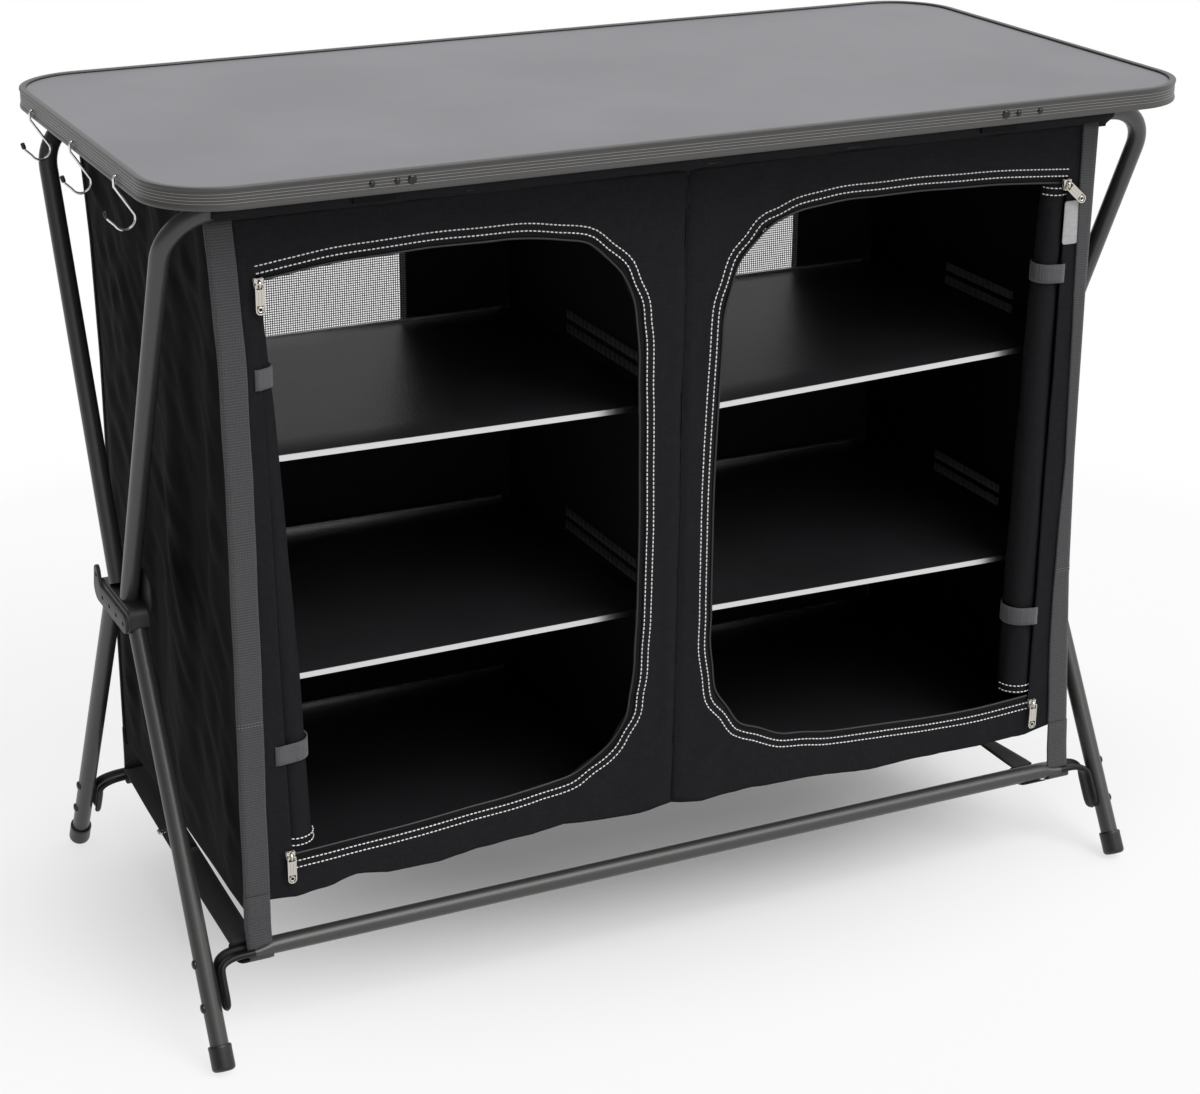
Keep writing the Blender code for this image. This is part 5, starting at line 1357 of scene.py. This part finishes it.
def round_corner(side, facing, z, along, off):
    """A point on the strap's path round the corner: along is positive on the front or rear face."""
    quarter = STRAP_BEND * math.pi / 4
    x = along_table(z, CORNERS[side]) - side * STRAP_BEND
    y = facing * (FRONT_Y + STRAP_OFF - STRAP_BEND)
    if along > quarter:
        return Vector((x - side * (along - quarter), y + facing * (STRAP_BEND + off), z))
    if along < -quarter:
        return Vector((x + side * (STRAP_BEND + off), y + facing * (along + quarter), z))
    angle = math.pi / 4 + along / STRAP_BEND
    reach = STRAP_BEND + off
    return Vector((x + side * reach * math.cos(angle), y + facing * reach * math.sin(angle), z))


def strap_row(side, facing, z, off=0.0):
    """Points across the strap at a height."""
    middle = along_table(z, STRAP_ROUTES[side]) + 0.0010 * ripple(z, facing + side, 0.07, 1.0, 71.0)
    return [round_corner(side, facing, z, middle + STRAP_WIDTH * (number / STRAP_CUTS - 0.5), off)
            for number in range(STRAP_CUTS + 1)]


for end, facing, hand, side in QUARTERS:
    name = "%s_%s_strap" % (end, hand)
    bm = bmesh.new()
    lofted(bm, [strap_row(side, facing, STRAP_TOP - (STRAP_TOP - STRAP_LOW) * number / STRAP_STEPS)
                for number in range(STRAP_STEPS + 1)])
    sewn(name + "_webbing", bm, strap_webbing, [name], thick=STRAP_THICK)
    bm = bmesh.new()
    rows = [strap_row(side, facing, z, 0.0006) for z in LOOP_HEIGHTS]
    reach = TUBE_RADIUS + 0.0014
    for turn in range(0, -196, -15):
        angle = math.radians(turn)
        share = min(1.0, 0.35 - turn / 60)
        row = []
        for point in strap_row(side, facing, 0.112):
            round_tube = Vector((point.x, facing * (RAIL_Y + reach * math.cos(angle)),
                                 RAIL_Z + reach * math.sin(angle)))
            row.append(Vector((point.x, point.y, round_tube.z)).lerp(round_tube, share))
        rows.append(row)
    lofted(bm, rows)
    loop = finished(name + "_low_loop", bm, [strap_webbing], end + "_lower", (), 60.0)
    thicken(loop, STRAP_THICK)
    bm = bmesh.new()
    for z in STRAP_SEAMS:
        sew(bm, strap_row(side, facing, z, 0.0010)[1:-1], 0.0030, 0.0022, 0.0004)
    sewn(name + "_stitches", bm, grey_thread, merge=1e-7)


# Base straps
# Black webbing along each side under the cloth, looped round both rails and tightened by a steel tri-glide.
BASE_ENDS = {-1: (-0.4640, -0.4520), 1: (0.4160, 0.4040)}
BASE_TILTS = {-1: 5.0, 1: 18.0}
BASE_WIDTH = 0.0255
BASE_SHIFT = 0.010
BASE_CUTS = 6
BUCKLE_Y = 0.050
# Number of the middle station of a strap
BASE_HALF = 29
bright_steel = plain("nickel_plated_steel", "#c9c5bd", 0.20, 0.0016, 0.00003, {"Metallic": 1.0})
for hand, side in HANDS:
    middles = []
    widths = []
    front_x, rear_x = BASE_ENDS[side]
    for (end, facing), turns in zip(ENDS, (range(-50, -231, -20), range(-230, -49, 20))):
        for turn in turns:
            angle = math.radians(turn)
            under = max(0.0, (turn + 150) / 100)
            reach = TUBE_RADIUS + 0.0010 + 0.0008 * under
            middles.append(Vector(((front_x if facing < 0 else rear_x) + BASE_SHIFT * under,
                                   facing * (RAIL_Y + reach * math.cos(angle)),
                                   RAIL_Z + reach * math.sin(angle))))
            widths.append(Vector((1, 0, 0)))
        if facing < 0:
            for number in range(1, 40):
                y = (RAIL_Y - 0.0075) * (number / 20 - 1)
                free = min(1.0, 4.0 * min(number / 40, 1 - number / 40))
                lift = 0.0078 - 0.0015 * free - 0.0006 * ripple(y, side, 0.05, 1.0, 81.0)
                middles.append(Vector((front_x + (rear_x - front_x) * number / 40, y, RAIL_Z + lift)))
                tilt = math.radians(BASE_TILTS[side] * free)
                widths.append(Vector((math.cos(tilt), 0, -side * math.sin(tilt))))
    for (end, facing), first, last in zip(ENDS, (0, BASE_HALF), (BASE_HALF, len(middles) - 1)):
        bm = bmesh.new()
        strip = list(zip(middles, widths))[first:last + 1]
        lofted(bm, [[middle + across * ((number / BASE_CUTS - 0.5) * BASE_WIDTH) for middle, across in strip]
                    for number in range(BASE_CUTS + 1)])
        base = finished("%s_base_webbing_%s" % (hand, end), bm, [black_webbing], None,
                        [hand + "_base_strap"], 60.0)
        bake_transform(thicken(base, 0.0014))
    bm = bmesh.new()
    frame_line = rounded_box((-0.0150, -0.0045), (0.0150, 0.0045), (0.0020,) * 4, 4)
    places = stations([Vector((x, y, 0)) for x, y in frame_line + frame_line[:1]], (0, 0, 1))
    swept(bm, circle(0.0011, 8), places, cap=False)
    bar = [Vector((-0.0145, 0, 0.0)), Vector((0.0145, 0, 0.0))]
    swept(bm, circle(0.0013, 8), stations(bar, (0, 0, 1)))
    buckle_x = rear_x + (front_x - rear_x) * (RAIL_Y - BUCKLE_Y) / (2 * RAIL_Y)
    seat = Matrix.Translation((buckle_x, BUCKLE_Y, RAIL_Z + 0.0062))
    seat @= Matrix.Rotation(math.radians(BASE_TILTS[side] * side), 4, "Y")
    bmesh.ops.transform(bm, matrix=seat, verts=bm.verts)
    slide = finished(hand + "_tri_glide", bm, [bright_steel], None, [hand + "_buckle"], 60.0)
    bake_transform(slide)


# Zip sliders and pulls
# Nickel plated castings: a wedge-shaped slider with a bridge, and a long pull with a recessed blade and a
# round eye at its end. There is one of each at both ends of each door's zip.
SLIDERS = (("upper_left", -0.4250, 0.744, 0.0), ("lower_left", -0.4160, 0.187, 0.0),
           ("upper_right", 0.4100, 0.744, 48.0), ("lower_right", 0.4160, 0.180, 0.0))
SLIDER_BACK = -0.2014
PULL_Y = -0.2073
PULL_LENGTH = 0.0270
PULL_RADII = (0.0037, 0.0037, 0.0012, 0.0012)
# Where the wire of a slider's bridge runs: out from its back, and up
BRIDGE = ((-0.0036, 0.0040), (-0.0058, 0.0034), (-0.0073, 0.0012), (-0.0073, -0.0010), (-0.0058, -0.0030),
          (-0.0036, -0.0036))
for where_name, x, z, lean in SLIDERS:
    bm = bmesh.new()
    outline = [(-0.0045, 0.0050), (-0.0040, 0.0056), (-0.0008, 0.0050), (0.0008, 0.0050), (0.0040, 0.0056),
               (0.0045, 0.0050), (0.0042, 0.0), (0.0034, -0.0040), (0.0026, -0.0055), (-0.0026, -0.0055),
               (-0.0034, -0.0040), (-0.0042, 0.0)]
    for back, thick in ((0.0, 0.0014), (-0.0027, 0.0012)):
        plate(bm, "XZ", outline, (x, SLIDER_BACK + back, z), (0, -thick, 0), 0.0004)
    post = rounded_box((-0.0012, 0.0005), (0.0012, 0.0045), (0.0004,) * 4, 2)
    plate(bm, "XZ", post, (x, SLIDER_BACK - 0.0010, z), (0, -0.0022, 0), 0.0)
    bridge = [(x, SLIDER_BACK + out, z + height) for out, height in BRIDGE]
    swept(bm, [(px * 1.5, py) for px, py in circle(0.0007, 8)], stations(bridge, (1, 0, 0)))
    crumples(finished(where_name + "_slider_casting", bm, [bright_steel], "slider_" + where_name,
                      [where_name + "_zip_slider"], 40.0))
    bm = bmesh.new()
    blade = rounded_box((-0.0038, 0.0008 - PULL_LENGTH), (0.0038, 0.0008), PULL_RADII, 8)
    rim = [(px, 0, pz) for px, pz in blade + blade[:1]]
    swept(bm, circle(0.0008, 8), stations(rim, (0, 1, 0)), cap=False)
    sheet_low = 0.0008 - PULL_LENGTH + 0.0078
    web = rounded_box((-0.0036, sheet_low), (0.0036, -0.0040), (0.0006,) * 4, 2)
    plate(bm, "XZ", web, (0, 0.0004, 0), (0, -0.0008, 0), 0.0)
    for px in (-0.0014, 0.0014):
        rib = [(px, -0.0004, sheet_low + 0.001), (px, -0.0004, -0.0055)]
        swept(bm, circle(0.00045, 6), stations(rib, (1, 0, 0)))
    eye = [(px, 0, pz + sheet_low - 0.0036) for px, pz in arc((0.0, 0.0), 0.0022, 0, 360, 14)]
    swept(bm, circle(0.0007, 6), stations(eye, (0, 1, 0)), cap=False)
    turn = Matrix.Translation((x, PULL_Y, z)) @ Matrix.Rotation(-math.radians(lean), 4, "Y")
    bmesh.ops.transform(bm, matrix=turn, verts=bm.verts)
    crumples(finished(where_name + "_pull_casting", bm, [bright_steel], "pull_" + where_name,
                      [where_name + "_zip_pull"], 40.0))


# Sewn tag
# A bare silver-grey woven tag beside the right strap, held by a seam along its outer edge.
tag_cloth = woven("silver_grey_satin_tag", "#a3a3a4", "#b9b9ba", 0.5, 0.3)
bm = bmesh.new()
plate(bm, "XZ", rounded_box((0.4110, 0.6825), (0.4290, 0.7265), (0.003,) * 4, 5), (0, -0.2016, 0),
      (0, -0.0008, 0), 0.0003)
sewn("bare_tag", bm, tag_cloth, ["sewn_tag"], 40.0)


# Shelves and floor boards
# Black pebbled polypropylene board, stiffened along the front edge by a bright aluminium bead and by a thin
# one behind. The floor boards are the same stock with the thin bead alone.
SHELF_TOPS = (("lower", 0.350), ("upper", 0.566))
SHELF_THICK = 0.0045
SHELF_Y = (-0.1610, 0.1890)
SHELF_X = {-1: (-0.4543, -0.0093), 1: (-0.0067, 0.4383)}
SHELF_CORNER = 0.022
# How far each board's corners hang from its level: front left, front right, rear left, rear right
SHELF_SAGS = {("lower", -1): (0.0015, 0.0035, 0.0045, 0.0), ("upper", -1): (0.0038, -0.0008, 0.0, 0.0),
              ("lower", 1): (-0.0065, -0.0125, 0.0, -0.0010), ("upper", 1): (-0.0120, 0.0012, 0.0, 0.0)}
FLOOR_BOARD_Y = (-0.1610, 0.1950)
FLOOR_BOARD_Z = (0.1383, 0.1423)
# Height and depth of the front bead's section, from the middle of the board's edge
BEAD_PROFILE = ((-0.0022, -0.0003), (-0.0022, 0.0008), (-0.0030, 0.0020), (-0.0030, 0.0024),
                (0.0026, 0.0024), (0.0026, -0.0003))
# Width and height of the thin bead
THIN_BEAD = (0.0030, 0.0024)
board_grain, tree, where = new_material("black_pebbled_polypropylene")
pebbles = add(tree, "ShaderNodeTexVoronoi", {"Vector": where, "Scale": 1 / 0.0022}, feature="SMOOTH_F1")
grain = add(tree, "ShaderNodeTexNoise", {"Vector": where, "Scale": 1 / 0.0010})
relief = add(tree, "ShaderNodeMath", {0: grain.outputs["Fac"], 1: 0.4, 2: pebbles.outputs["Distance"]},
             operation="MULTIPLY_ADD")
relief = add(tree, "ShaderNodeBump", {"Height": relief.outputs[0], "Distance": 0.00022, "Strength": 1.0})
cloud = add(tree, "ShaderNodeTexNoise", {"Vector": where, "Scale": 1 / 0.09, "Detail": 3.0})
tint = add(tree, "ShaderNodeMix", {"Factor": cloud.outputs["Fac"], 6: linear("#1c1c1d"), 7: linear("#27272a")},
           data_type="RGBA")
skin = add(tree, "ShaderNodeBsdfPrincipled", {"Base Color": tint.outputs[2], "Roughness": 0.35,
                                              "Normal": relief.outputs["Normal"]})
add(tree, "ShaderNodeOutputMaterial", {"Surface": skin.outputs[0]})
bead, tree, where = new_material("bright_aluminium_bead")
streak = add(tree, "ShaderNodeMapping", {"Vector": where, "Scale": (8.0, 900.0, 900.0)})
skin = add(tree, "ShaderNodeBsdfPrincipled", {
    "Base Color": linear("#dcdcdc"), "Metallic": 1.0, "Roughness": 0.32,
    "Normal": grained(tree, streak.outputs[0], 1.0, 0.00006)})
add(tree, "ShaderNodeOutputMaterial", {"Surface": skin.outputs[0]})


def sagged(bm, sags, low_x, high_x):
    """Cuts a board into strips both ways and lets it hang by the given amounts at its corners."""
    for number in range(1, 8):
        for place, normal in (((low_x + (high_x - low_x) * number / 8, 0, 0), (1, 0, 0)),
                              ((0, SHELF_Y[0] + (SHELF_Y[1] - SHELF_Y[0]) * number / 8, 0), (0, 1, 0))):
            bmesh.ops.bisect_plane(bm, geom=list(bm.verts) + list(bm.edges) + list(bm.faces), dist=1e-6,
                                   plane_co=place, plane_no=normal)
    for vert in bm.verts:
        across = (vert.co.x - low_x) / (high_x - low_x)
        back = (vert.co.y - SHELF_Y[0]) / (SHELF_Y[1] - SHELF_Y[0])
        vert.co.z += (sags[0] * (1 - across) + sags[1] * across) * (1 - back)
        vert.co.z += (sags[2] * (1 - across) + sags[3] * across) * back


def rear_bead(bm, edge_y, low_z, low_x, high_x, inset):
    """A thin bead that stands on the rear edge of a board."""
    front_y = edge_y - THIN_BEAD[0]
    high_z = low_z + THIN_BEAD[1]
    square = [(front_y, low_z), (edge_y, low_z), (edge_y, high_z), (front_y, high_z)]
    plate(bm, "YZ", square, (low_x + inset, 0, 0), (high_x - low_x - 2 * inset, 0, 0), 0.0)


for hand, side in HANDS:
    low_x, high_x = SHELF_X[side]
    for level, top in SHELF_TOPS:
        node = "%s_%s_shelf" % (level, hand)
        bm = bmesh.new()
        outline = rounded_box((low_x, SHELF_Y[0] + 0.0012), (high_x, SHELF_Y[1]), (SHELF_CORNER,) * 4, 10)
        plate(bm, "XY", outline, (0, 0, top - SHELF_THICK), (0, 0, SHELF_THICK), 0.0008)
        sagged(bm, SHELF_SAGS[level, side], low_x, high_x)
        sewn(node + "_board", bm, board_grain, [node], 40.0)
        bm = bmesh.new()
        ends = (low_x + SHELF_CORNER * 0.45, high_x - SHELF_CORNER * 0.45)
        outline = [(SHELF_Y[0] + 0.0004 - py * 0.5, top - SHELF_THICK / 2 + pz) for pz, py in BEAD_PROFILE]
        plate(bm, "YZ", outline, (ends[0], 0, 0), (ends[1] - ends[0], 0, 0), 0.0)
        rear_bead(bm, SHELF_Y[1], top, *ends, 0.006)
        sagged(bm, SHELF_SAGS[level, side], low_x, high_x)
        sewn(node + "_beads", bm, bead, crease=30.0)
    bm = bmesh.new()
    outline = rounded_box((low_x, FLOOR_BOARD_Y[0]), (high_x, FLOOR_BOARD_Y[1]), (SHELF_CORNER / 2,) * 4, 8)
    plate(bm, "XY", outline, (0, 0, FLOOR_BOARD_Z[0]), (0, 0, FLOOR_BOARD_Z[1] - FLOOR_BOARD_Z[0]), 0.0008)
    sewn(hand + "_floor_panel", bm, board_grain, [hand + "_floor_board"], 40.0)
    bm = bmesh.new()
    rear_bead(bm, FLOOR_BOARD_Y[1], FLOOR_BOARD_Z[1], low_x, high_x, 0.012)
    sewn(hand + "_floor_bead", bm, bead, crease=30.0)
